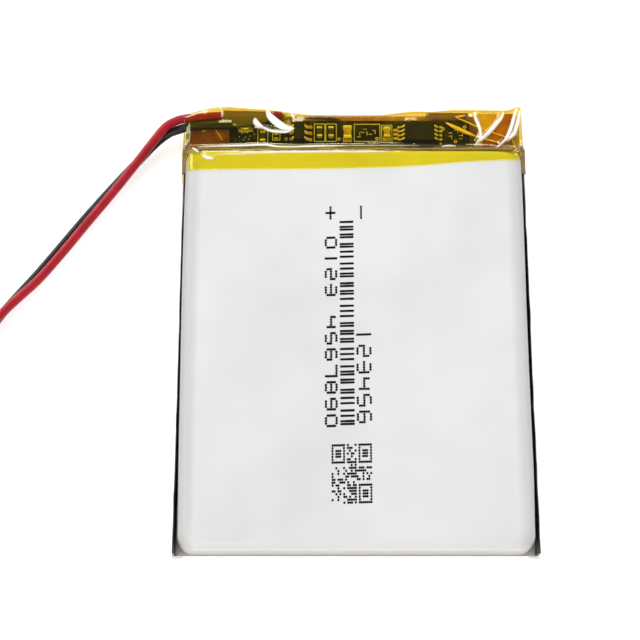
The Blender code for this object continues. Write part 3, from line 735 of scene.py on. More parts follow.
def makeBoard():
    low, high = board["low"], board["high"]
    putMesh("circuitBoard", *softBlock(low, high, 0.06), boardMask, "board", ["pcm_board"])
    pads = [flatPatch(-17.0, -16.1, 29.3, 30.5),
            flatPatch(-10.35, -9.2, 29.3, 30.85)]
    pads += [flatPatch(x - 0.30, x + 0.30, y - 0.22, y + 0.22) for x, y in
             ((-13.35, 27.75), (-13.35, 29.0), (-4.96, 28.35),
              (-4.96, 29.75), (-3.26, 28.35), (-3.26, 29.75))]
    pads += [flatPatch(-11.66, -11.06, y - 0.13, y + 0.13) for y in (28.12, 28.78)]
    pads += [flatPatch(-1.50, -0.18, y - 0.36, y + 0.36) for y in (27.88, 29.80)]
    pads += [flatPatch(4.40, 5.56, y - 0.30, y + 0.30) for y in (28.05, 29.62)]
    pads += [flatPatch(5.95, 6.65, y - 0.20, y + 0.20) for y in (28.1, 28.75, 29.4)]
    pads += [flatPatch(x - 0.22, x + 0.22, 28.9 + row * 0.65 - 0.17, 28.9 + row * 0.65 + 0.17)
             for x in (6.75, 12.95) for row in (-1.5, -0.5, 0.5, 1.5)]
    pads += [flatPatch(x - 0.30, x + 0.30, 28.95 + row * 0.95 - 0.22, 28.95 + row * 0.95 + 0.22)
             for x in (-9.1, -6.85) for row in (-1, 0, 1)]
    pads += [ringPad(x, y, 0.26, 0.11) for x, y in
             ((-6.3, 27.9), (-6.3, 28.9), (-6.3, 29.9), (-9.9, 28.0), (-2.08, 28.0), (3.5, 28.05),
              (13.3, 29.6), (15.1, 27.6), (16.5, 29.9))]
    putMesh("boardPads", *joinShapes(pads), goldPads, "board")
    frames = [printFrame(-14.15, -12.55, 27.15, 29.65), printFrame(-11.95, -10.75, 27.75, 29.15),
              printFrame(-5.80, -4.12, 27.55, 30.45), printFrame(-4.10, -2.42, 27.55, 30.45),
              printFrame(0.10, 4.02, 27.55, 30.40), printFrame(4.15, 5.80, 27.45, 30.25)]
    # short pale strokes beside the chips and on the bare end of the board
    strokes = [flatPatch(x, x + 0.55, y, y + 0.11, 0.03, 0.04) for x, y in
               ((14.1, 28.9), (14.1, 28.4), (14.9, 29.3), (15.6, 28.5), (15.6, 28.0), (0.6, 28.3),
                (1.5, 29.5), (2.3, 28.7), (1.1, 29.0), (2.8, 29.3))]
    strokes += [flatPatch(x, x + 0.16, y, y + 0.14, 0.03, 0.04) for x, y in
                ((-16.9, 28.3), (-16.5, 28.8), (-16.0, 28.2), (-15.7, 28.9), (-15.3, 28.4), (-15.0, 29.1),
                 (-16.3, 27.8), (-15.5, 27.9), (-16.8, 29.0), (-14.7, 28.7))]
    strokes += [flatPatch(x, x + 0.11, y, y + 0.6, 0.03, 0.04) for x, y in
                ((14.5, 28.0), (15.4, 28.9), (16.1, 28.4), (0.9, 28.5), (2.0, 28.6), (3.2, 28.8))]
    strokes += [ringPad(10.9 + 2.0, 27.25, 0.16, 0.08), ringPad(8.2, 30.72, 0.14, 0.07)]
    putMesh("boardPrint", *joinShapes(frames + strokes), palePrint, "board")


def legShape(x, y, side, halfBody, reach, width, height):
    # a flat lead bent like a gull's wing: out of the body, down and out flat on its pad
    metal = 0.14
    floor = board["partFloor"] + metal / 2
    line = smoothLine([(halfBody - 0.25, 0, floor + height), (halfBody + 0.12, 0, floor + height),
                       (halfBody + (reach - halfBody) * 0.42, 0, floor + height * 0.55),
                       (halfBody + (reach - halfBody) * 0.58, 0, floor + 0.03), (reach, 0, floor)], 4)
    step = np.gradient(line, axis=0)
    step /= np.linalg.norm(step, axis=1)[:, None]
    up = np.stack([-step[:, 2], step[:, 1], step[:, 0]], axis=1)
    rings = []
    for dy, dz in ((-1, -1), (1, -1), (1, 1), (-1, 1)):
        rings.append(line + up * dz * metal / 2 + [0, dy * width / 2, 0])
    rings = np.stack(rings, axis=1)
    rings[..., 0] = x + side * rings[..., 0]
    rings[..., 1] += y
    return loftShape(rings)


def makeChip(name, centre, body, height, legRows, legPitch, legWidth, reach, stands):
    # moulded body with drafted sides, widest at the legs
    cx, cy = centre
    floor = board["partFloor"]
    rings = []
    for share, inset in ((0.10, 0.10), (0.14, 0.07), (0.48, 0.0), (0.52, 0.0), (0.94, 0.07), (1.0, 0.12)):
        outline = roundRect(cx - body[0] / 2 + inset, cx + body[0] / 2 - inset,
                            cy - body[1] / 2 + inset, cy + body[1] / 2 - inset, 0.07, 2)
        rings.append(np.column_stack([outline, np.full(len(outline), floor + height * share)]))
    putMesh(name, *loftShape(rings), chipMould, "chip", stands, smoothAngle=25)
    legs = [legShape(cx, cy + (row - (legRows - 1) / 2) * legPitch, side, body[0] / 2, reach, legWidth,
                     height * 0.46) for side in (-1, 1) for row in range(legRows)]
    putMesh(name + "Legs", *joinShapes(legs), tinnedEnds, "chip")


def makeEndCapped(name, centre, size, capLength, bodyFinish, slotName, stands):
    # ceramic block lying along y with thicker tinned ends
    cx, cy = centre
    width, length, height = size
    floor = board["partFloor"]
    putMesh(name, *softBlock((cx - width / 2 + 0.03, cy - length / 2 + 0.1, floor + 0.03),
                             (cx + width / 2 - 0.03, cy + length / 2 - 0.1, floor + height - 0.03), 0.05),
            bodyFinish, slotName, stands)
    caps = [softBlock((cx - width / 2, cy + a, floor), (cx + width / 2, cy + b, floor + height), 0.07)
            for a, b in ((-length / 2, -length / 2 + capLength), (length / 2 - capLength, length / 2))]
    putMesh(name + "Ends", *joinShapes(caps), tinnedEnds, slotName)


def makeSolder(name, centre, radiusX, radiusY, height, stands):
    # a dome: radius falls with the cosine and height rises with the sine, made uneven by
    # two waves round it
    turn = np.linspace(0, 2 * math.pi, 40, endpoint=False)
    rise = np.linspace(0, 0.93, 12)[:, None] * math.pi / 2
    uneven = 1 + 0.07 * np.sin(3 * turn + centre[0]) + 0.04 * np.sin(7 * turn)
    flare = 1 + 0.35 * np.exp(-rise * 9)
    x = centre[0] + radiusX * np.cos(rise) * np.cos(turn) * uneven * flare
    y = centre[1] + radiusY * np.cos(rise) * np.sin(turn) * uneven * flare
    z = np.broadcast_to(board["partFloor"] - 0.01 + height * np.sin(rise), x.shape)
    putMesh(name, *loftShape(np.stack([x, y, z], axis=-1)), solderFinish, "solder", stands)


makeBoard()
makeChip("switchChip", (9.78, 28.90), (4.4, 3.0), 1.0, 4, 0.65, 0.28, 2.76, ["mosfet_chip"])
makeChip("protectionChip", (-7.98, 28.95), (1.6, 2.9), 1.05, 3, 0.95, 0.36, 1.22, ["protection_chip"])
# name, centre, size, width of an end cap, finish, slot and the solid it stands for
endCappedParts = [
    ("sensorResistor", (-13.35, 28.35), (0.8, 1.6, 0.45), 0.32, resistorGlaze, "resistor", "resistor_1"),
    ("middleResistorLeft", (-4.96, 29.05), (0.8, 1.6, 0.45), 0.32, resistorGlaze, "resistor", "resistor_2"),
    ("middleResistorRight", (-3.26, 29.05), (0.8, 1.6, 0.45), 0.32, resistorGlaze, "resistor", "resistor_3"),
    ("wideCapacitor", (-0.84, 28.85), (1.15, 2.0, 0.8), 0.45, tanCeramic, "capacitor", "capacitor_1"),
    ("narrowCapacitor", (4.98, 28.85), (0.95, 1.6, 0.8), 0.38, tanCeramic, "capacitor", "capacitor_2"),
]
for *shape, node in endCappedParts:
    makeEndCapped(*shape, [node])
makeSolder("solderPositive", (-9.75, 30.1), 0.45, 0.75, 0.45, ["solder_positive"])
makeSolder("solderNegative", (-15.9, 29.9), 0.95, 0.7, 0.5, ["solder_negative"])
print("board and parts made")


film = {
    "half": 24.95,         # half width of its level part; its sides swell out from there
    "swell": 0.36,
    "thickness": 0.08,
    "backEdge": 19.0,
    "floor": 0.02,
    "clearance": 0.10,
    "slopeStart": 24.3,    # beyond this y the film comes down the pouch's end
    "endClearance": 0.15,
    "sagRadius": 9.0,
    "cell": 0.16,
    "relaxations": 1200,
    "mouth": [(-24.95, 21.75), (-16.0, 21.85), (-8.0, 21.88), (0.3, 22.04), (8.0, 22.3), (15.0, 22.9),
              (21.0, 23.26), (24.95, 23.5)],
    "edge": [(-24.95, 31.6), (-23.0, 32.1), (-20.0, 32.6), (-16.0, 32.5), (-12.2, 32.25), (-9.2, 31.8),
             (-4.7, 31.55), (1.1, 31.52), (3.9, 31.55), (6.25, 31.85), (9.0, 32.15), (11.5, 32.12),
             (14.5, 32.4), (19.0, 32.45), (23.0, 32.5), (24.1, 32.95), (24.95, 33.1)],
    "rim": [(-25.0, 2.8), (-22.5, 3.40), (-19.5, 3.68), (-17.5, 3.66), (-15.5, 3.44), (-9.5, 3.42),
            (-7.0, 3.15), (10.0, 3.1),
            (16.0, 2.95), (25.0, 2.7)],
    "foot": 32.62,         # least reach of the end wall near the floor
    # the bend where it comes down the pouch's end and turns level over the board
    "bend": [(-25.0, 25.9), (-23.6, 25.95), (-18.0, 26.0), (-13.0, 26.1), (-11.3, 25.98), (-9.0, 25.95),
             (-3.8, 26.0), (1.0, 26.05), (6.7, 26.1), (12.0, 25.98), (14.7, 25.95), (25.0, 25.9)],
    "bendRadius": 0.40,
    "bendSlope": 2.5,
    "bendLevel": [(-25.0, 3.1), (-19.0, 3.38), (-17.0, 3.45), (16.5, 3.45), (19.0, 3.2), (25.0, 2.8)],
    "sideHeights": [(20, 4.55), (25.4, 4.55), (26.4, 3.3), (28.0, 2.7), (34, 2.3)],
    "leadLift": 0.6,
    "ripple": 0.006,
    # what it lies on besides the pouch and the leads: the parts' level on the board, the folded
    # tape at the right and the tape at the left; low and high corner of each
    "decks": [((-17.6, 26.95, 0), (17.0, 31.2, 3.38)), ((-17.6, 30.0, 0), (-9.5, 31.9, 3.38)),
              ((7.6, 27.2, 0), (11.95, 30.5, 3.50)),
              ((-8.8, 27.5, 0), (-7.2, 30.4, 3.56)), ((17.0, 27.0, 0), (24.2, 32.2, 2.95)),
              ((-24.0, 27.2, 0), (-17.6, 32.0, 3.25)), ((-21.5, 30.0, 0), (-16.8, 32.4, 3.64)),
              ((-23.2, 30.0, 0), (-21.4, 31.9, 3.45))],
}

# creases in the film: height, width of the flank on its left and on its right, then the points
# it runs through
creases = [
    (0.25, 0.24, 0.52, [(18.2, 32.3), (18.45, 30.9), (18.75, 29.3), (18.5, 27.8), (17.9, 26.9)]),
    (0.26, 0.24, 0.52, [(22.1, 32.5), (21.25, 30.3), (20.1, 28.95), (18.6, 27.4)]),
    (0.28, 0.24, 0.50, [(24.3, 33.1), (23.8, 30.7), (23.0, 28.2), (21.1, 26.6)]),
    (0.24, 0.22, 0.42, [(24.85, 32.8), (24.55, 30.7), (23.7, 28.4), (22.8, 27.6)]),
    (0.26, 0.40, 0.36, [(-12.8, 32.7), (-11.8, 30.9), (-10.6, 29.8), (-9.1, 29.25)]),
    (0.22, 0.45, 0.30, [(-14.8, 30.6), (-13.6, 29.6), (-12.2, 29.25), (-10.6, 29.0), (-8.8, 29.4)]),
    (0.12, 0.30, 0.26, [(-9.3, 32.2), (-8.6, 31.0)]),
    (0.12, 0.26, 0.26, [(-19.4, 32.9), (-19.4, 31.3)]),
    (0.16, 0.30, 0.40, [(-23.5, 25.6), (-22.4, 24.4), (-20.6, 23.4)]),
]


# painted highlights, where creases and bends in the film catch the light: how white, half width at the
# widest, then the points they run through
folds = [
    (0.92, 0.20, [(18.1, 32.1), (18.02, 31.2), (18.42, 30.0), (18.73, 28.86), (18.6, 27.74), (17.7, 26.5)]),
    (0.95, 0.27, [(22.3, 32.1), (21.85, 31.1), (21.12, 30.2), (20.2, 29.04), (19.3, 28.1), (18.4, 27.2)]),
    (0.95, 0.22, [(24.3, 32.9), (23.98, 31.9), (23.48, 30.2), (23.0, 28.9), (22.43, 27.7), (20.8, 26.2)]),
    (0.95, 0.24, [(24.85, 32.7), (24.55, 31.5), (24.1, 29.8), (23.7, 28.7), (23.1, 27.95), (22.4, 27.4)]),
    (0.80, 0.18, [(21.7, 25.6), (22.8, 26.0)]),
    (0.75, 0.11, [(12.8, 26.3), (13.85, 26.46), (15.0, 26.4)]),
    (1.00, 0.52, [(-12.8, 32.3), (-12.3, 31.2), (-11.5, 30.4), (-10.7, 29.75), (-9.9, 29.3), (-8.7, 29.15)]),
    (1.00, 0.34, [(-14.5, 30.9), (-14.3, 30.1), (-13.2, 29.35)]),
    (0.95, 0.17, [(-14.6, 29.5), (-13.4, 29.4), (-12.3, 28.95), (-10.9, 28.75), (-9.7, 28.75),
                  (-8.8, 29.15)]),
    (0.85, 0.13, [(-9.35, 32.0), (-8.87, 31.1), (-8.6, 30.7)]),
    (0.55, 0.12, [(-19.32, 32.2), (-19.3, 31.0)]),
    (0.95, 0.19, [(-22.9, 26.40), (-19.2, 26.44), (-16.4, 26.48), (-12.5, 26.57), (-11.4, 26.29),
                  (-8.8, 26.2),
                  (-7.1, 26.3), (-4.5, 26.4), (-1.0, 26.45)]),
    (0.32, 0.10, [(-3.5, 26.42), (1.0, 26.48), (5.0, 26.48), (9.9, 26.4)]),
    (0.90, 0.14, [(-23.4, 25.3), (-22.4, 24.4)]),
    (0.80, 0.24, [(-21.9, 23.95), (-21.1, 23.6), (-20.2, 23.5)]),
    (0.50, 0.16, [(-21.0, 24.0), (-13.9, 24.4), (-7.1, 24.55), (6.0, 24.6)]),
    (0.45, 0.10, [(-24.9, 31.1), (-22.8, 31.7), (-20.0, 32.36)]),
]


def curveAt(x, stops):
    # smooth height of a curve through given stops, at any x
    line = smoothLine([(a, b, 0) for a, b in stops], 12)
    return np.interp(x, line[:, 0], line[:, 1])


def blockTop(x, y, low, high, skirt=0.25):
    # the top of a block, with a steep skirt just outside it
    gap = np.maximum(np.maximum(low[0] - x, x - high[0]), np.maximum(low[1] - y, y - high[1]))
    return np.where(gap < skirt, high[2] - 4 * np.maximum(gap, 0), -9.0)


def tubeTop(x, y, line, radius):
    # the upper surface of a lead at x, y, by its nearest point in plan
    top = np.full(x.shape, -9.0)
    for px, py, pz in line:
        gap = (x - px) ** 2 + (y - py) ** 2
        top = np.maximum(top, np.where(gap < radius ** 2, pz + np.sqrt(np.maximum(radius ** 2 - gap, 0)),
                                       -9.0))
    return top


def cupTop(x, y):
    # the front with its quarter-ellipse edge, seen from above, held a little further out at the
    # end so that the film also clears the tape there
    size = laminate
    inset = np.minimum(size["top"] - 0.25 + film["endClearance"] - y, size["halfWidth"] - 0.18 - np.abs(x))
    t = np.clip(inset / size["rounding"], 0, 1)
    edge = size["front"] - size["roundingHeight"] * (1 - np.sqrt(1 - (1 - t) ** 2))
    return np.where(inset > 0, edge, -9.0)


def filmHeight():
    # membrane over everything under it: each point takes the mean of its neighbours less a little
    # pull, and never lies lower than what is under it; its mouth, sides and far edge are held
    half, cell = film["half"], film["cell"]
    xs = np.linspace(-half, half, int(2 * half / cell))
    ys = np.arange(21.2, 33.6, cell)
    x, y = np.meshgrid(xs, ys)
    under = np.full(x.shape, 0.85)
    for low, high in film["decks"]:
        under = np.maximum(under, blockTop(x, y, low, high))
    for line in (redLine, blackLine):
        near = line[line[:, 0] > -half - 1]
        under = np.maximum(under, tubeTop(x, y, near, leads["diameter"] / 2))
    under = np.maximum(under, cupTop(x, y)) + film["clearance"]
    sideLevel = np.interp(ys, *zip(*film["sideHeights"]))
    lift = film["leadLift"] * np.exp(-((ys - 30.6) / 1.3) ** 2)
    far = y > curveAt(x, film["edge"])
    rim = np.interp(x, *zip(*film["rim"]))
    # coming down the pouch's end: a straight slope that turns level over a soft bend
    level, radius = np.interp(x, *zip(*film["bendLevel"])), film["bendRadius"]
    turn = np.clip((curveAt(x, film["bend"]) - y) / radius, -30, 30)
    slope = np.minimum(level + film["bendSlope"] * radius * np.log1p(np.exp(turn)), 6.0)
    nearEnd = y < curveAt(x, film["bend"]) + 0.9
    left, right = np.maximum(under[:, 0], sideLevel + lift), np.maximum(under[:, -1], sideLevel)
    ends = easeBetween(np.abs(x), film["half"] - 0.9, film["half"])
    sideZ = np.where(x < 0, left[:, None], right[:, None])
    # over the pouch it follows the front, and beside the front it keeps the height of its side
    down = np.maximum(np.where(y < film["slopeStart"], sideZ, slope), cupTop(x, y) + film["clearance"])
    down = np.maximum(down * (1 - ends) + sideZ * ends, cupTop(x, y) + film["clearance"])
    z = np.maximum(under, 2.6)
    k = cell ** 2 / (4 * film["sagRadius"])
    for _ in range(film["relaxations"]):
        padded = np.pad(z, 1, mode="edge")
        mean = (padded[2:, 1:-1] + padded[:-2, 1:-1] + padded[1:-1, 2:] + padded[1:-1, :-2]) / 4
        z = np.maximum(mean - k, under)
        z = np.where(far, rim, np.where(nearEnd, down, z))
        z[:, 0], z[:, -1] = left, right
    return xs, ys, z


def nearLine(x, y, through):
    # distance to a smooth line in plan, share of the way along it and the side of it
    line = smoothLine([(a, b, 0) for a, b in through], 6)[:, :2]
    best, along, side = np.full(x.shape, 99.0), np.zeros(x.shape), np.zeros(x.shape)
    for i, (a, b) in enumerate(zip(line, line[1:])):
        step = b - a
        dx, dy = x - a[0], y - a[1]
        t = np.clip((dx * step[0] + dy * step[1]) / (step @ step), 0, 1)
        gap = np.hypot(dx - t * step[0], dy - t * step[1])
        nearer = gap < best
        along = np.where(nearer, (i + t) / (len(line) - 1), along)
        side = np.where(nearer, step[0] * dy - step[1] * dx, side)
        best = np.minimum(best, gap)
    return best, along, side


def foldWhiteness(x, y):
    # painted highlight within each line's half width, which is full in its middle and runs out to a point
    total = np.zeros(x.shape)
    for glintShare, half, through in folds:
        best, along, _ = nearLine(x, y, through)
        reach = half * np.maximum(np.sin(math.pi * along), 0) ** 0.5
        total = np.maximum(total, glintShare * np.clip((reach - best) / 0.14 + 0.5, 0, 1) * (reach > 0.02))
    return total


def creaseHeight(x, y):
    # every crease adds a ridge with two straight flanks, highest on its line and nothing at the
    # flank's width, and dies away at both ends
    total = np.zeros(x.shape)
    for height, leftWidth, rightWidth, through in creases:
        best, along, side = nearLine(x, y, through)
        width = np.where(side > 0, leftWidth, rightWidth)
        ends = easeBetween(0.5 - np.abs(along - 0.5), 0, 0.12)
        total = np.maximum(total, height * np.clip(1 - best / width, 0, 1) * ends)
    return total


def makeFilmShape():
    # a grid over the cell's end: its rows run from the mouth to the far edge, down the end wall
    # and back under the pouch; its columns run down both side walls; the corners fan between
    xs, ys, z = filmHeight()
    half, wall, back = film["half"], 8, 7
    columns = np.concatenate([np.arange(-half, -7.9, 0.14), np.arange(-7.75, 12.9, 0.25),
                              np.arange(13.0, half, 0.13), [half]])
    share = np.concatenate([np.linspace(0, 0.32, 16, endpoint=False), np.linspace(0.32, 1, 56)])
    mouth, edge = curveAt(columns, film["mouth"]), curveAt(columns, film["edge"])
    y = mouth + (edge - mouth) * share[:, None]
    x = np.broadcast_to(columns, y.shape)
    fx = np.clip((x - xs[0]) / (xs[1] - xs[0]), 0, len(xs) - 1.001)
    fy = np.clip((y - ys[0]) / (ys[1] - ys[0]), 0, len(ys) - 1.001)
    ix, iy, tx, ty = fx.astype(int), fy.astype(int), fx % 1, fy % 1
    level = ((z[iy, ix] * (1 - tx) + z[iy, ix + 1] * tx) * (1 - ty)
             + (z[iy + 1, ix] * (1 - tx) + z[iy + 1, ix + 1] * tx) * ty)
    inside = easeBetween(np.minimum(half - np.abs(x), edge - y), 0.0, 0.5)
    level = level + creaseHeight(x, y) * (0.25 + 0.75 * inside)
    level = level + film["ripple"] * np.sin(x * 1.9 + 3 * np.sin(y * 0.8)) * np.sin(y * 2.3 + x * 0.4)
    rows, cols = y.shape
    # wall levels of every row and column of the whole grid
    down = np.concatenate([np.zeros(rows), np.arange(1, wall + 1), np.full(back, wall)])
    out = np.concatenate([np.arange(-wall, 0), np.zeros(cols), np.arange(1, wall + 1)])
    r = np.clip(np.arange(len(down)), 0, rows - 1)
    c = np.clip(np.arange(len(out)) - wall, 0, cols - 1)
    m, k = np.meshgrid(down, np.abs(out), indexing="ij")
    turn = np.arctan2(m, k)
    fall = np.maximum(m, k) / wall
    swell = (film["swell"] * np.sin(np.minimum(fall * 1.25, 1) * math.pi / 2)
             - 0.06 * easeBetween(fall, 0.8, 1))
    px = x[np.ix_(r, c)] + np.sign(out)[None, :] * swell * np.cos(turn)
    reach = np.maximum(film["foot"] - edge[c], film["swell"])[None, :] / film["swell"]
    py = y[np.ix_(r, c)] + swell * np.sin(turn) * (1 + (reach - 1) * easeBetween(fall, 0.0, 0.7))
    top = level[np.ix_(r, c)]
    base = easeBetween(0, -0.35, 1.0)
    pz = top + (film["floor"] - top) * np.clip((easeBetween(fall, -0.35, 1.0) - base) / (1 - base), 0, 1)
    for step in range(back):
        row = rows + wall + step
        t = (step + 1) / back
        py[row] = py[rows + wall - 1] + (film["backEdge"] - py[rows + wall - 1]) * t
        pz[row] = film["floor"]
        px[row] *= 1 - 0.014 * min(1, 3 * t)
    points = np.stack([px, py, pz], axis=-1)
    # how far each point is whitened by a painted highlight, and how far the film lies double near its rim
    glintShare = foldWhiteness(x, y)[np.ix_(r, c)] * np.clip(1 - 2 * fall, 0, 1)
    rim = 1 - easeBetween(np.minimum((half - np.abs(x)) * 1.4, edge - y), 0.15, 0.9)
    double = np.maximum(rim[np.ix_(r, c)], np.minimum(fall * 3, 1))
    return points.reshape(-1, 3), gridFaces(*px.shape), glintShare.ravel(), double.ravel()


def filmFinish():
    # clear amber film: what passes is coloured by each wall, and a sharp shine grows towards
    # the edge, by the fifth power of how much the wall turns away
    material = bpy.data.materials.new("amberFilm")
    material.use_nodes = True
    tree = material.node_tree
    tree.nodes.clear()
    place = objectPlace(tree)
    fine = placeGroup(tree, grainGroup, place, Grain_Size=2600.0, Patch_Size=260.0)
    through = colourRamp(tree, fine.outputs["Patches"],
                         [(0.3, (0.990, 0.935, 0.35)), (0.7, (1.0, 0.950, 0.39))])
    double = addNode(tree, "ShaderNodeAttribute")
    double.attribute_name = "double"
    through = mixColours(tree, double.outputs["Fac"], through, (0.90, 0.80, 0.50))
    clear = tree.nodes.new("ShaderNodeBsdfTransparent")
    tree.links.new(through, clear.inputs["Color"])
    shine = addNode(tree, "ShaderNodeBsdfGlossy", Color=(1, 1, 1, 1))
    tree.links.new(rescale(tree, fine.outputs["Patches"], 0.3, 0.7, 0.05, 0.10), shine.inputs["Roughness"])
    bump = addNode(tree, "ShaderNodeBump", Strength=0.08, Distance=0.00002)
    tree.links.new(fine.outputs["Height"], bump.inputs["Height"])
    tree.links.new(bump.outputs["Normal"], shine.inputs["Normal"])
    weight = addNode(tree, "ShaderNodeLayerWeight", Blend=0.5)
    turned = calculate(tree, "POWER", weight.outputs["Facing"], 5.0)
    amount = calculate(tree, "MULTIPLY_ADD", turned, 0.10, 0.045)
    mix = tree.nodes.new("ShaderNodeMixShader")
    tree.links.new(amount, mix.inputs["Fac"])
    tree.links.new(clear.outputs["BSDF"], mix.inputs[1])
    tree.links.new(shine.outputs["BSDF"], mix.inputs[2])
    # painted highlights: white diffuse mixed in along the listed lines, standing for glints off creases and
    # bends
    fold = addNode(tree, "ShaderNodeAttribute")
    fold.attribute_name = "fold"
    paintedGlintWhite = addNode(tree, "ShaderNodeBsdfDiffuse", Color=(0.92, 0.92, 0.90, 1))
    withPaintedGlints = tree.nodes.new("ShaderNodeMixShader")
    streaks = rescale(tree, fine.outputs["Patches"], 0.3, 0.6, 0.82, 1.0)
    tree.links.new(calculate(tree, "MULTIPLY", fold.outputs["Fac"], streaks), withPaintedGlints.inputs["Fac"])
    tree.links.new(mix.outputs["Shader"], withPaintedGlints.inputs[1])
    tree.links.new(paintedGlintWhite.outputs["BSDF"], withPaintedGlints.inputs[2])
    target = tree.nodes.new("ShaderNodeOutputMaterial")
    tree.links.new(withPaintedGlints.outputs["Shader"], target.inputs["Surface"])
    return material


amberFilm = filmFinish()


def makeFilm():
    points, faces, glintShare, double = makeFilmShape()
    piece = putMesh("filmWrap", points, faces, amberFilm, "film", ["wrap_film"], smoothAngle=0)
    for name, values in (("fold", glintShare), ("double", double)):
        piece.data.attributes.new(name, "FLOAT", "POINT").data.foreach_set("value", values)
    piece.data.shade_smooth()
    middle = piece.data.polygons[len(piece.data.polygons) // 3]
    if middle.normal.z < 0:
        piece.data.flip_normals()
    wall = piece.modifiers.new("wall", "SOLIDIFY")
    wall.thickness = film["thickness"] * mm
    wall.offset = -1
    wall.use_even_offset = False


makeFilm()
print("film draped")


def tapeFinish(name, dark, light):
    # darker amber tape stuck down on the sealed end: uneven colour and soft gloss
    return grainyFinish(name, dark, light, (0.28, 0.45), grain=3000, patch=330, bump=0.4, depth=0.00004,
                        marks=0.15, markColour=tuple(min(1, c * 1.25) for c in light))


def terraceFinish():
    # the tape's colour changes along the cell, as it lies in one, two or three layers
    material, tree, shader = startMaterial("terraceTapeAmber")
    place = objectPlace(tree)
    split = tree.nodes.new("ShaderNodeSeparateXYZ")
    tree.links.new(place, split.inputs["Vector"])
    uneven = noiseOf(tree, place, 330, 3, 0.6, (0.5, 1, 1))
    along = rescale(tree, calculate(tree, "MULTIPLY_ADD", uneven, 0.006, split.outputs["X"]), -0.022, 0.028,
                    0, 1)
    tone = colourRamp(tree, along, [
        (0.00, (0.34, 0.10, 0.014)), (0.09, (0.52, 0.17, 0.02)), (0.20, (0.30, 0.12, 0.02)),
        (0.34, (0.34, 0.16, 0.03)), (0.46, (0.58, 0.27, 0.04)), (0.60, (0.60, 0.33, 0.07)),
        (0.70, (0.58, 0.34, 0.09)), (0.74, (0.26, 0.10, 0.02)), (0.84, (0.32, 0.12, 0.03)),
        (0.90, (0.50, 0.25, 0.05)), (1.00, (0.60, 0.33, 0.06))])
    fine = placeGroup(tree, grainGroup, place, Grain_Size=3000.0, Patch_Size=900.0)
    darker = rescale(tree, fine.outputs["Patches"], 0.3, 0.7, 0.45, 0.0)
    tree.links.new(mixColours(tree, darker, tone, (0.10, 0.04, 0.01)), shader.inputs["Base Color"])
    tree.links.new(rescale(tree, fine.outputs["Patches"], 0.3, 0.7, 0.3, 0.5), shader.inputs["Roughness"])
    bumpInto(tree, shader, fine.outputs["Height"], 0.4, 0.00004)
    return material


def leadTapeFinish():
    # dull tape over the leads' ends: dark by the board, olive in its middle, golden at the far edge
    material, tree, shader = startMaterial("leadTapeOlive")
    place = objectPlace(tree)
    split = tree.nodes.new("ShaderNodeSeparateXYZ")
    tree.links.new(place, split.inputs["Vector"])
    uneven = noiseOf(tree, place, 500, 3, 0.6)
    along = rescale(tree, calculate(tree, "MULTIPLY_ADD", uneven, 0.0012, split.outputs["Y"]), 0.0301,
                    0.0333, 0, 1)
    tone = colourRamp(tree, along, [(0.0, (0.012, 0.011, 0.006)), (0.3, (0.066, 0.040, 0.030)),
                                    (0.65, (0.165, 0.098, 0.080)), (0.85, (0.13, 0.085, 0.025)),
                                    (1.0, (0.42, 0.23, 0.05))])
    tree.links.new(tone, shader.inputs["Base Color"])
    shader.inputs["Roughness"].default_value = 0.5
    fine = placeGroup(tree, grainGroup, place, Grain_Size=3000.0, Patch_Size=900.0)
    bumpInto(tree, shader, fine.outputs["Height"], 0.4, 0.00004)
    return material


terraceTape = terraceFinish()
sideTape = tapeFinish("sideTapeBrown", (0.085, 0.052, 0.018), (0.17, 0.105, 0.034))
leadTape = leadTapeFinish()
# this brown is the tape over the tab, and also a dark sheet of painted shade up the pouch's end wall
tapeAndWallShade = tapeFinish("tapeAndWallShadeBrown", (0.075, 0.032, 0.006), (0.17, 0.080, 0.012))
foldedTape = tapeFinish("foldedTapeOrange", (0.30, 0.075, 0.010), (0.50, 0.15, 0.022))
paleFold = tapeFinish("foldedTapePale", (0.56, 0.29, 0.07), (0.70, 0.40, 0.12))
deepFold = tapeFinish("foldedTapeDeep", (0.012, 0.005, 0.002), (0.045, 0.018, 0.006))
goldenEdge = tapeFinish("foldedTapeEdge", (0.80, 0.52, 0.10), (0.92, 0.66, 0.16))


def sheetBetween(first, second, rows, cols, lift):
    # a surface whose rows run from one line to the other, bowed up between them by lift
    a, b = (evenLine(smoothLine(line, 12), 0.1) for line in (first, second))
    s = np.linspace(0, 1, rows)
    a, b = (np.stack([np.interp(s * (len(l) - 1), np.arange(len(l)), l[:, i]) for i in range(3)], 1)
            for l in (a, b))
    t = np.linspace(0, 1, cols)[None, :, None]
    points = a[:, None] * (1 - t) + b[:, None] * t
    points[..., 2] += (lift * np.sin(math.pi * t[..., 0])
                       + 0.04 * np.sin(7 * s)[:, None] * np.sin(5 * t[..., 0]))
    return points.reshape(-1, 3), gridFaces(rows, cols)


def ribbonShape(through, width, level):
    # a narrow strip along a line, wide in its middle and pointed at its ends
    line = evenLine(smoothLine([(a, b, level) for a, b in through], 12), 0.15)
    step = np.gradient(line, axis=0)
    across = np.stack([-step[:, 1], step[:, 0], np.zeros(len(line))], axis=1)
    across /= np.linalg.norm(across, axis=1)[:, None]
    half = 0.03 + width / 2 * np.sin(np.linspace(0, math.pi, len(line)))[:, None] ** 0.6
    points = np.stack([line - across * half, line + across * half], axis=1)
    return points.reshape(-1, 3), gridFaces(len(line), 2)


def makeTape(name, shape, material, stands=()):
    piece = putMesh(name, *shape, material, "film", stands, smoothAngle=60)
    wall = piece.modifiers.new("wall", "SOLIDIFY")
    wall.thickness = 0.06 * mm
    wall.offset = 0
    return piece


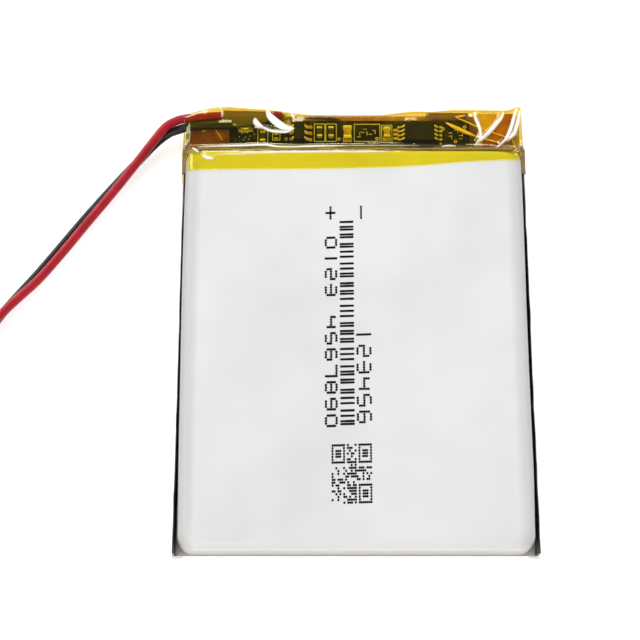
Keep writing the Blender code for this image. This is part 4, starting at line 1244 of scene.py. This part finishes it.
def makeTapes():
    makeTape("tapeOnTerrace", sheetBetween([(-24.1, 26.1, 0.80), (-24.1, 29.5, 0.82), (-23.6, 32.2, 0.80)],
                                           [(24.2, 26.2, 0.80), (24.3, 29.5, 0.82), (24.4, 32.36, 0.80)],
                                           24, 120, 0.02), terraceTape, ["terrace_tape"])
    makeTape("tapeOverTab", sheetBetween([(11.3, 30.98, 2.30), (11.35, 31.5, 2.25), (11.3, 32.25, 2.1)],
                                         [(17.3, 31.0, 2.30), (17.1, 31.5, 2.25), (17.4, 32.3, 2.1)],
                                         10, 16, 0.02), tapeAndWallShade)
    # a dark sheet of painted shade up the pouch's end wall and over its rounded edge, by the same quarter
    # ellipse
    turn = np.linspace(0, 1.18, 9)
    reach = laminate["top"] - 0.22 - laminate["rounding"] * (1 - np.cos(turn))
    rise = laminate["front"] - laminate["roundingHeight"] * (1 - np.sin(turn)) + 0.04
    profile = [(26.12, 0.86), (25.80, 1.3)] + list(zip(reach, rise))
    across = np.linspace(-23.3, 23.3, 60)
    rows = np.stack([np.stack([across, np.full(60, y + 0.015), np.full(60, z)], 1) for y, z in profile])
    makeTape("paintedShadeUpTheWall", (rows.reshape(-1, 3), gridFaces(len(profile), 60)), tapeAndWallShade)
    # strips that come down both sides under the film
    for name, side in (("tapeDownLeft", -1), ("tapeDownRight", 1)):
        inner = [(side * (24.02 - 0.25 * t), y, 5.1 - 1.2 * t * t)
                 for t, y in ((0, 21.6), (0, 24.0), (0.4, 25.6), (0.8, 26.6))]
        outer = [(side * 24.90, y, z) for y, z in ((21.6, 4.50), (24.0, 4.50), (25.6, 4.3), (26.6, 2.9))]
        makeTape(name, sheetBetween(inner, outer, 30, 8, 0.02), sideTape)
    makeTape("tapeOverLeads", sheetBetween([(-19.3, 32.5, 2.6), (-19.3, 31.9, 3.02), (-19.3, 30.9, 3.1),
                                            (-19.3, 29.4, 3.24)],
                                           [(-12.9, 32.3, 2.6), (-12.4, 31.9, 3.02), (-11.9, 31.2, 3.1),
                                            (-13.8, 29.8, 3.2)],
                                           24, 30, 0.02), leadTape)
    makeTape("foldInner", sheetBetween([(18.0, 26.9, 2.3), (18.7, 29.3, 2.65), (18.2, 32.0, 2.3)],
                                       [(18.8, 27.2, 2.3), (20.1, 28.95, 2.6), (22.1, 32.0, 2.3)], 30, 16,
                                       0.08),
             paleFold)
    makeTape("foldOuter", sheetBetween([(18.8, 27.1, 2.25), (20.2, 28.95, 2.5), (22.2, 32.0, 2.25)],
                                       [(21.1, 26.6, 2.25), (23.0, 28.2, 2.5), (24.2, 32.1, 2.2)], 30, 20,
                                       0.1),
             foldedTape)
    makeTape("darkFold", ribbonShape([(-7.2, 31.35), (-4.6, 31.25), (-1.8, 30.98)], 0.55, 2.6), deepFold)
    edges = [ribbonShape([(15.2, 31.3), (16.6, 30.7), (18.2, 29.9), (20.3, 29.0), (22.8, 28.1)], 0.18, 2.75),
             ribbonShape([(13.7, 30.5), (15.3, 29.6), (18.1, 28.3)], 0.55, 2.75),
             ribbonShape([(17.6, 28.5), (20.1, 27.7), (22.2, 27.2)], 0.18, 2.7),
             ribbonShape([(15.1, 31.5), (15.6, 31.5), (16.6, 31.7)], 0.25, 2.6),
             ribbonShape([(23.4, 28.2), (24.0, 26.5), (24.2, 25.2)], 0.15, 2.3),
             ribbonShape([(-22.3, 29.1), (-21.4, 29.8), (-20.5, 30.1)], 0.35, 2.45),
             ribbonShape([(-20.6, 30.0), (-20.0, 29.0), (-19.3, 27.9)], 0.14, 2.3)]
    makeTape("tapeEdges", joinShapes(edges), goldenEdge)


makeTapes()
print("tapes laid")


marks = {
    "rise": 0.012,         # how far the ink stands off the laminate
    "dot": (0.185, 0.190),           # half sizes of one printed dot
    "lean": 0.030,         # every printed row climbs this much of its length to the right
    "characterStep": 2.33,
    "columnPitch": 0.365,
    "leftDigits": "0123 4567890",
    "rightDigits": "123456",
    "barStart": 13.85,
    "barEnd": -15.1,
    "barLength": 1.92,
    "barPair": 0.40,       # between the two bars of a pair
    "barGaps": (0.74, 1.02),
    "codeCentre": (-0.58, -22.15),
    "codeModule": (0.262, 0.392),
    "codeCells": 21,
}

# which of the seven strokes of a counter digit are lit, named a to g as usual
digitStrokes = {"0": "abcdef", "1": "bc", "2": "abged", "3": "abgcd", "4": "fgbc", "5": "afgcd",
                "6": "afgedc", "7": "abc", "8": "abcdefg", "9": "abcdfg"}


def digitDots(character):
    # dots (column 0-4, row 0-6 from the foot) of one digit from its lit strokes
    column, row = np.meshgrid(np.arange(5), np.arange(7), indexing="ij")
    strokes = {"a": row == 6, "g": row == 3, "d": row == 0, "f": (column == 0) & (row >= 3),
               "b": (column == 4) & (row >= 3), "e": (column == 0) & (row <= 3),
               "c": (column == 4) & (row <= 3)}
    lit = np.zeros(column.shape, bool)
    for stroke in digitStrokes.get(character, ""):
        lit |= strokes[stroke]
    if character == "1":
        return np.stack([column[lit] - 2, row[lit]], axis=1)
    # outer corners are left open, which rounds the digit
    lit &= ~(((column == 0) | (column == 4)) & ((row == 0) | (row == 6)) & (character != "7"))
    return np.stack([column[lit], row[lit]], axis=1)


def inkSpot(x, y, halfX, halfY, corners):
    # a flat raised spot: an ellipse or a rounded bar, sampled at equal turns
    turn = np.linspace(0, 2 * math.pi, corners, endpoint=False) + math.pi / corners
    c, s = np.cos(turn), np.sin(turn)
    short = min(halfX, halfY)
    px = x + short * c + np.sign(c) * (halfX - short)
    py = y + short * s + np.sign(s) * (halfY - short)
    py = py + marks["lean"] * (px - x)
    low = frontHeight(px, py) - 0.004
    return loftShape([np.column_stack([px, py, low]), np.column_stack([px, py, low + marks["rise"] + 0.004])])


def hashBit(a, b, share):
    # a repeatable scatter: bits of products of the two numbers
    mixed = (a * 374761393 + b * 668265263 + 974711) & 0xffffffff
    mixed = ((mixed ^ (mixed >> 13)) * 1274126177) & 0xffffffff
    return ((mixed >> 16) & 1023) / 1023 < share


def jitter(a, b):
    # a small repeatable shift of a printed dot: a sine of its two numbers
    return 0.012 * math.sin(a * 12.9 + b * 78.2)


def makeMarks():
    # running digits, a plus and a minus, rows of bars and a scatter of cells, each a set of spots
    shapes = []
    columns = ((marks["leftDigits"], -4.08, 0.243, 11.45), (marks["rightDigits"], 0.30, 0.298, -2.0))
    for text, left, rowPitch, start in columns:
        for place, character in enumerate(text):
            for column, row in digitDots(character):
                x = left + row * rowPitch
                y = start - place * marks["characterStep"] - column * marks["columnPitch"]
                y += marks["lean"] * (x - left) + jitter(row, place)
                shapes.append(inkSpot(x + jitter(place, column), y, *marks["dot"], 10))
    # plus and minus signs at the top
    for step in np.arange(-2, 2.01, 0.8):
        shapes.append(inkSpot(-3.40, 15.2 + step * 0.42, 0.18, 0.17, 10))
        shapes.append(inkSpot(-3.40 + step * 0.28, 15.2 + step * 0.01, 0.19, 0.18, 10))
    for step in np.arange(-2, 2.01, 0.8):
        shapes.append(inkSpot(0.95, 15.3 + step * 0.42, 0.17, 0.17, 10))
    # bars of run-together dots, alone or in pairs
    y, i = marks["barStart"], 0
    while y > marks["barEnd"]:
        pair = (i * i + 3 * i) % 7 in (1, 3, 4)
        for step in range(2 if pair else 1):
            for part in range(7):
                x = -1.13 + (part - 3) * (marks["barLength"] - 0.3) / 6
                shapes.append(inkSpot(x + jitter(i, 2),
                                      y - step * marks["barPair"] + marks["lean"] * (x + 1.13),
                                      0.21, 0.180 + jitter(part, i), 8))
        y -= marks["barPair"] * pair + marks["barGaps"][(i * 5 + 2) % 3 == 0]
        i += 1
    # a field of scattered cells with a framed square in three corners
    cells, (stepX, stepY), (cx, cy) = marks["codeCells"], marks["codeModule"], marks["codeCentre"]
    for i in range(cells):
        for j in range(cells):
            inCorner = [(i < 8 and j < 8), (i > cells - 9 and j < 8), (i > cells - 9 and j > cells - 9)]
            if any(inCorner):
                ring = max(abs(min(i, cells - 1 - i) - 3), abs(min(j, cells - 1 - j) - 3))
                dark = ring <= 1 or ring == 3
            else:
                dark = hashBit(i, j, 0.52)
            if dark:
                x = cx + (i - (cells - 1) / 2) * stepX + jitter(i, j)
                y = cy - (j - (cells - 1) / 2) * stepY + marks["lean"] * (x - cx)
                shapes.append(inkSpot(x, y, stepX * 0.60, stepY * 0.47, 8))
    putMesh("printedMarks", *joinShapes(shapes), printInk, "ink", smoothAngle=0)


printInk = grainyFinish("printInk", (0.006, 0.006, 0.006), (0.020, 0.020, 0.020), (0.75, 0.9), grain=12000,
                        patch=2500, bump=0.3, gloss=0.12)
makeMarks()
print("marks printed")


plug = {
    "centre": -56.5,
    "half": 2.95,
    "back": -57.3,
    "front": -64.9,
    "height": 4.5,
    "channel": (1.40, 3.10),     # low and high of each lead's channel
    "pitch": 2.0,
    "bevel": 0.14,
    "channelHalf": 0.85,         # half widths of a channel and of the window over its contact
    "windowHalf": 0.45,
    "rail": 0.35,                # how far the side rails stand out
}


def cellShape(xs, ys, zs, filled):
    # the skin of the filled cells of a grid: a face wherever a filled cell meets an empty one
    full = np.zeros((len(xs) + 1, len(ys) + 1, len(zs) + 1), bool)
    full[1:-1, 1:-1, 1:-1] = filled
    grid = [np.asarray(v, float) for v in (xs, ys, zs)]
    faces = []
    for axis in range(3):
        step = [0, 0, 0]
        step[axis] = 1
        ahead = full[tuple(slice(s, None) for s in step)]
        behind = full[tuple(slice(None, -1 if s else None) for s in step)]
        for i, j, k in np.argwhere(ahead != behind):
            i, j, k = int(i), int(j), int(k)
            if axis == 0:
                corners = [(i, j - 1, k - 1), (i, j, k - 1), (i, j, k), (i, j - 1, k)]
            elif axis == 1:
                corners = [(i - 1, j, k - 1), (i - 1, j, k), (i, j, k), (i, j, k - 1)]
            else:
                corners = [(i - 1, j - 1, k), (i, j - 1, k), (i, j, k), (i - 1, j, k)]
            faces.append([(a * len(ys) + b) * len(zs) + c for a, b, c in corners])
    used = sorted({v for f in faces for v in f})
    new = {v: n for n, v in enumerate(used)}
    x, y, z = np.meshgrid(*grid, indexing="ij")
    points = np.stack([x, y, z], axis=-1).reshape(-1, 3)[used]
    return points, [[new[v] for v in f] for f in faces]


def makePlug():
    # housing: a grid of cells with two channels bored through, a window over each contact,
    # rails on its sides and a lip round its mating end
    c, h = plug["centre"], plug["half"]
    low, high = plug["channel"]
    a, b = c - plug["pitch"] / 2, c + plug["pitch"] / 2
    r, w, rail = plug["channelHalf"], plug["windowHalf"], plug["rail"]
    xs = [c - h, c - h + rail, a - r, a - w, a + w, a + r, b - r, b - w, b + w, b + r, c + h - rail, c + h]
    ys = [plug["front"], -64.1, -62.6, -60.6, -59.4, -58.2, plug["back"]]
    zs = [0.02, 0.45, 0.9, low, high, 3.75, 4.1, plug["height"]]
    fill = np.ones((len(xs) - 1, len(ys) - 1, len(zs) - 1), bool)
    for first, last in ((2, 4), (6, 8)):
        fill[first:last + 1, :, 3] = False                # channels
        fill[first + 1, 2, 4:] = False                    # windows in the top
        fill[first + 1, 4, 4:] = False
    fill[0, 1:5, 0] = fill[-1, 1:5, 0] = False            # undercut below the side rails
    fill[0, 1:5, 4:] = fill[-1, 1:5, 4:] = False          # and above them
    fill[1:-1, 3, 6] = False                              # step behind the lip
    housing = putMesh("plugHousing", *cellShape(xs, ys, zs, fill), nylonFinish, "nylon",
                      ["connector_housing"], smoothAngle=30)
    edge = housing.modifiers.new("edges", "BEVEL")
    edge.width = plug["bevel"] * mm
    edge.segments = 2
    edge.limit_method = "ANGLE"
    contacts = []
    for name, node, x in (("negativeContact", "negative_contact", a),
                          ("positiveContact", "positive_contact", b)):
        # square spring box with an inner tongue, then two wings curled over the lead
        w, t, mid = 0.55, 0.14, (low + high) / 2
        gx = [x - w, x - w + t, x - 0.25, x + 0.25, x + w - t, x + w]
        gy = [-64.3, -63.6, -62.4, -61.6, -60.4]
        gz = [mid - w, mid - w + t, mid - 0.12, mid + w - t, mid + w]
        cells = np.ones((5, 4, 4), bool)
        cells[1:4, :, 1:3] = False
        cells[2, 1:3, 1] = True
        cells[2, 1, 3] = False
        shapes = [cellShape(gx, gy, gz, cells)]
        turn = np.linspace(-0.62 * math.pi, 0.62 * math.pi, 15) - math.pi / 2
        for start, end, radius in ((-60.3, -59.5, 0.44), (-59.3, -58.75, 0.70)):
            rings = []
            for y in np.linspace(start, end, 4):
                outer = np.stack([x + radius * np.cos(turn), np.full(15, y), mid + radius * np.sin(turn)],
                                 axis=1)
                inner = np.stack([x + (radius - t) * np.cos(turn[::-1]), np.full(15, y),
                                  mid + (radius - t) * np.sin(turn[::-1])], axis=1)
                rings.append(np.vstack([outer, inner]))
            shapes.append(loftShape(rings))
        contacts.append(putMesh(name, *joinShapes(shapes), contactFinish, "contact", [node], smoothAngle=35))
    return housing, contacts


nylonFinish = grainyFinish("naturalNylon", (0.70, 0.685, 0.62), (0.80, 0.79, 0.73), (0.38, 0.5), grain=4200,
                           patch=380, bump=0.25, marks=0.12, markColour=(0.62, 0.61, 0.55))
contactFinish = grainyFinish("tinnedContact", (0.55, 0.53, 0.48), (0.78, 0.76, 0.70), (0.2, 0.36),
                             metallic=1.0,
                             grain=6000, patch=800, bump=0.3, marks=0.2, markColour=(0.40, 0.37, 0.30))
plugHousing, (negativeContact, positiveContact) = makePlug()
print("plug made")


def finishHidden():
    # the solids inside the pouch and under the tape keep their own shape and get a finish each
    finishes = {
        "separator": grainyFinish("separatorFilm", (0.78, 0.78, 0.76), (0.88, 0.88, 0.86), (0.5, 0.65),
                                  grain=9000, patch=500),
        "anode": grainyFinish("graphiteCoat", (0.020, 0.018, 0.017), (0.045, 0.042, 0.040), (0.6, 0.8),
                              grain=9000, patch=900, bump=0.5),
        "cathode": grainyFinish("oxideCoat", (0.012, 0.012, 0.013), (0.030, 0.030, 0.033), (0.5, 0.7),
                                grain=9000, patch=900, bump=0.5),
        "tape": grainyFinish("greenTape", (0.03, 0.20, 0.08), (0.05, 0.30, 0.12), (0.25, 0.4), grain=3500,
                             patch=500, marks=0.2, markColour=(0.10, 0.42, 0.2)),
        "aluminium_tab": grainyFinish("rolledAluminium", (0.70, 0.71, 0.73), (0.82, 0.83, 0.84), (0.25, 0.4),
                                      metallic=1.0, grain=5000, patch=300, marks=0.3,
                                      markColour=(0.6, 0.6, 0.62)),
        "nickel": grainyFinish("rolledNickel", (0.52, 0.50, 0.46), (0.64, 0.61, 0.57), (0.22, 0.38),
                               metallic=1.0, grain=5000, patch=300, marks=0.3, markColour=(0.45, 0.43, 0.40)),
        "sealant": grainyFinish("tabSealant", (0.48, 0.49, 0.50), (0.60, 0.61, 0.62), (0.4, 0.6), grain=4500,
                                patch=600),
        "foam": grainyFinish("whiteFoam", (0.66, 0.66, 0.63), (0.80, 0.80, 0.77), (0.7, 0.9), grain=7000,
                             patch=1800, bump=0.8, depth=0.00006),
    }
    owners = {"separator": ("separator_inner", "separator_outer"), "anode": ("anode_winding",),
              "cathode": ("cathode_winding",),
              "tape": ("winding_tape", "positive_tab_tape", "negative_tab_tape"),
              "aluminium_tab": ("positive_tab",),
              "nickel": ("negative_tab", "positive_weld_plate", "negative_weld_plate"),
              "sealant": ("positive_tab_seal", "negative_tab_seal"), "foam": ("board_pad",)}
    for slotName, names in owners.items():
        for name in names:
            nodes[name].data.materials.clear()
            nodes[name].data.materials.append(finishes[slotName])


finishHidden()
print("inner pieces finished")


room = {
    "floorTone": 0.93,
    "floorGlow": 0.42,
    "horizon": 0.40,
    "zenith": 0.12,
    # name: place in metres, width and height in metres, watts
    "lights": {
        "backStrip": ((-0.22, 0.74, 0.66), 0.56, 0.30, 3.4),
        "leftBox": ((-0.74, 0.46, 0.50), 0.60, 0.42, 3.4),
        "leftHighBox": ((-0.66, -0.22, 0.74), 0.40, 0.40, 2.3),
        "rightBox": ((0.76, 0.10, 0.66), 0.50, 0.50, 3.4),
        "backRightBox": ((0.36, 0.78, 0.48), 0.26, 0.40, 2.2),
        "frontBox": ((-0.05, -0.80, 0.72), 0.70, 0.55, 4.3),
    },
}


def makeRoom():
    # a large floor that keeps a faint mottling, and a sky that is bright only near the horizon
    material, tree, shader = startMaterial("paleFloor")
    place = objectPlace(tree)
    tone = room["floorTone"]
    tree.links.new(colourRamp(tree, noiseOf(tree, place, 6.0, 3), [
        (0.3, (tone, tone, tone)), (0.7, (tone + 0.02, tone + 0.02, tone + 0.02))]),
        shader.inputs["Base Color"])
    shader.inputs["Roughness"].default_value = 0.85
    shader.inputs["Specular IOR Level"].default_value = 0.1
    shader.inputs["Emission Color"].default_value = (1, 1, 1, 1)
    shader.inputs["Emission Strength"].default_value = room["floorGlow"]
    mesh = bpy.data.meshes.new("floor")
    mesh.from_pydata([(-3, -3, 0), (3, -3, 0), (3, 3, 0), (-3, 3, 0)], [], [(0, 1, 2, 3)])
    mesh.materials.append(material)
    floor = bpy.data.objects.new("floor", mesh)
    bpy.context.scene.collection.objects.link(floor)
    world = bpy.data.worlds.new("softSky")
    world.use_nodes = True
    sky = world.node_tree
    split = sky.nodes.new("ShaderNodeSeparateXYZ")
    sky.links.new(sky.nodes.new("ShaderNodeTexCoord").outputs["Generated"], split.inputs["Vector"])
    high, low = room["zenith"], room["horizon"]
    shade = colourRamp(sky, split.outputs["Z"], [
        (0.0, (0.92, 0.92, 0.92)), (0.16, (0.80, 0.80, 0.80)), (0.36, (low, low, low)),
        (0.62, (high * 2.2, high * 2.2, high * 2.2)), (0.80, (high, high, high))])
    sky.links.new(shade, sky.nodes["Background"].inputs["Color"])
    bpy.context.scene.world = world
    for name, (at, width, height, watts) in room["lights"].items():
        lamp = bpy.data.lights.new(name, "AREA")
        lamp.shape = "RECTANGLE"
        lamp.size, lamp.size_y, lamp.energy = width, height, watts
        light = bpy.data.objects.new(name, lamp)
        light.location = at
        light.rotation_euler = (-Vector(at)).to_track_quat("-Z", "Y").to_euler()
        bpy.context.scene.collection.objects.link(light)
    bpy.context.scene.view_settings.view_transform = "Standard"


makeRoom()
print("room lit")
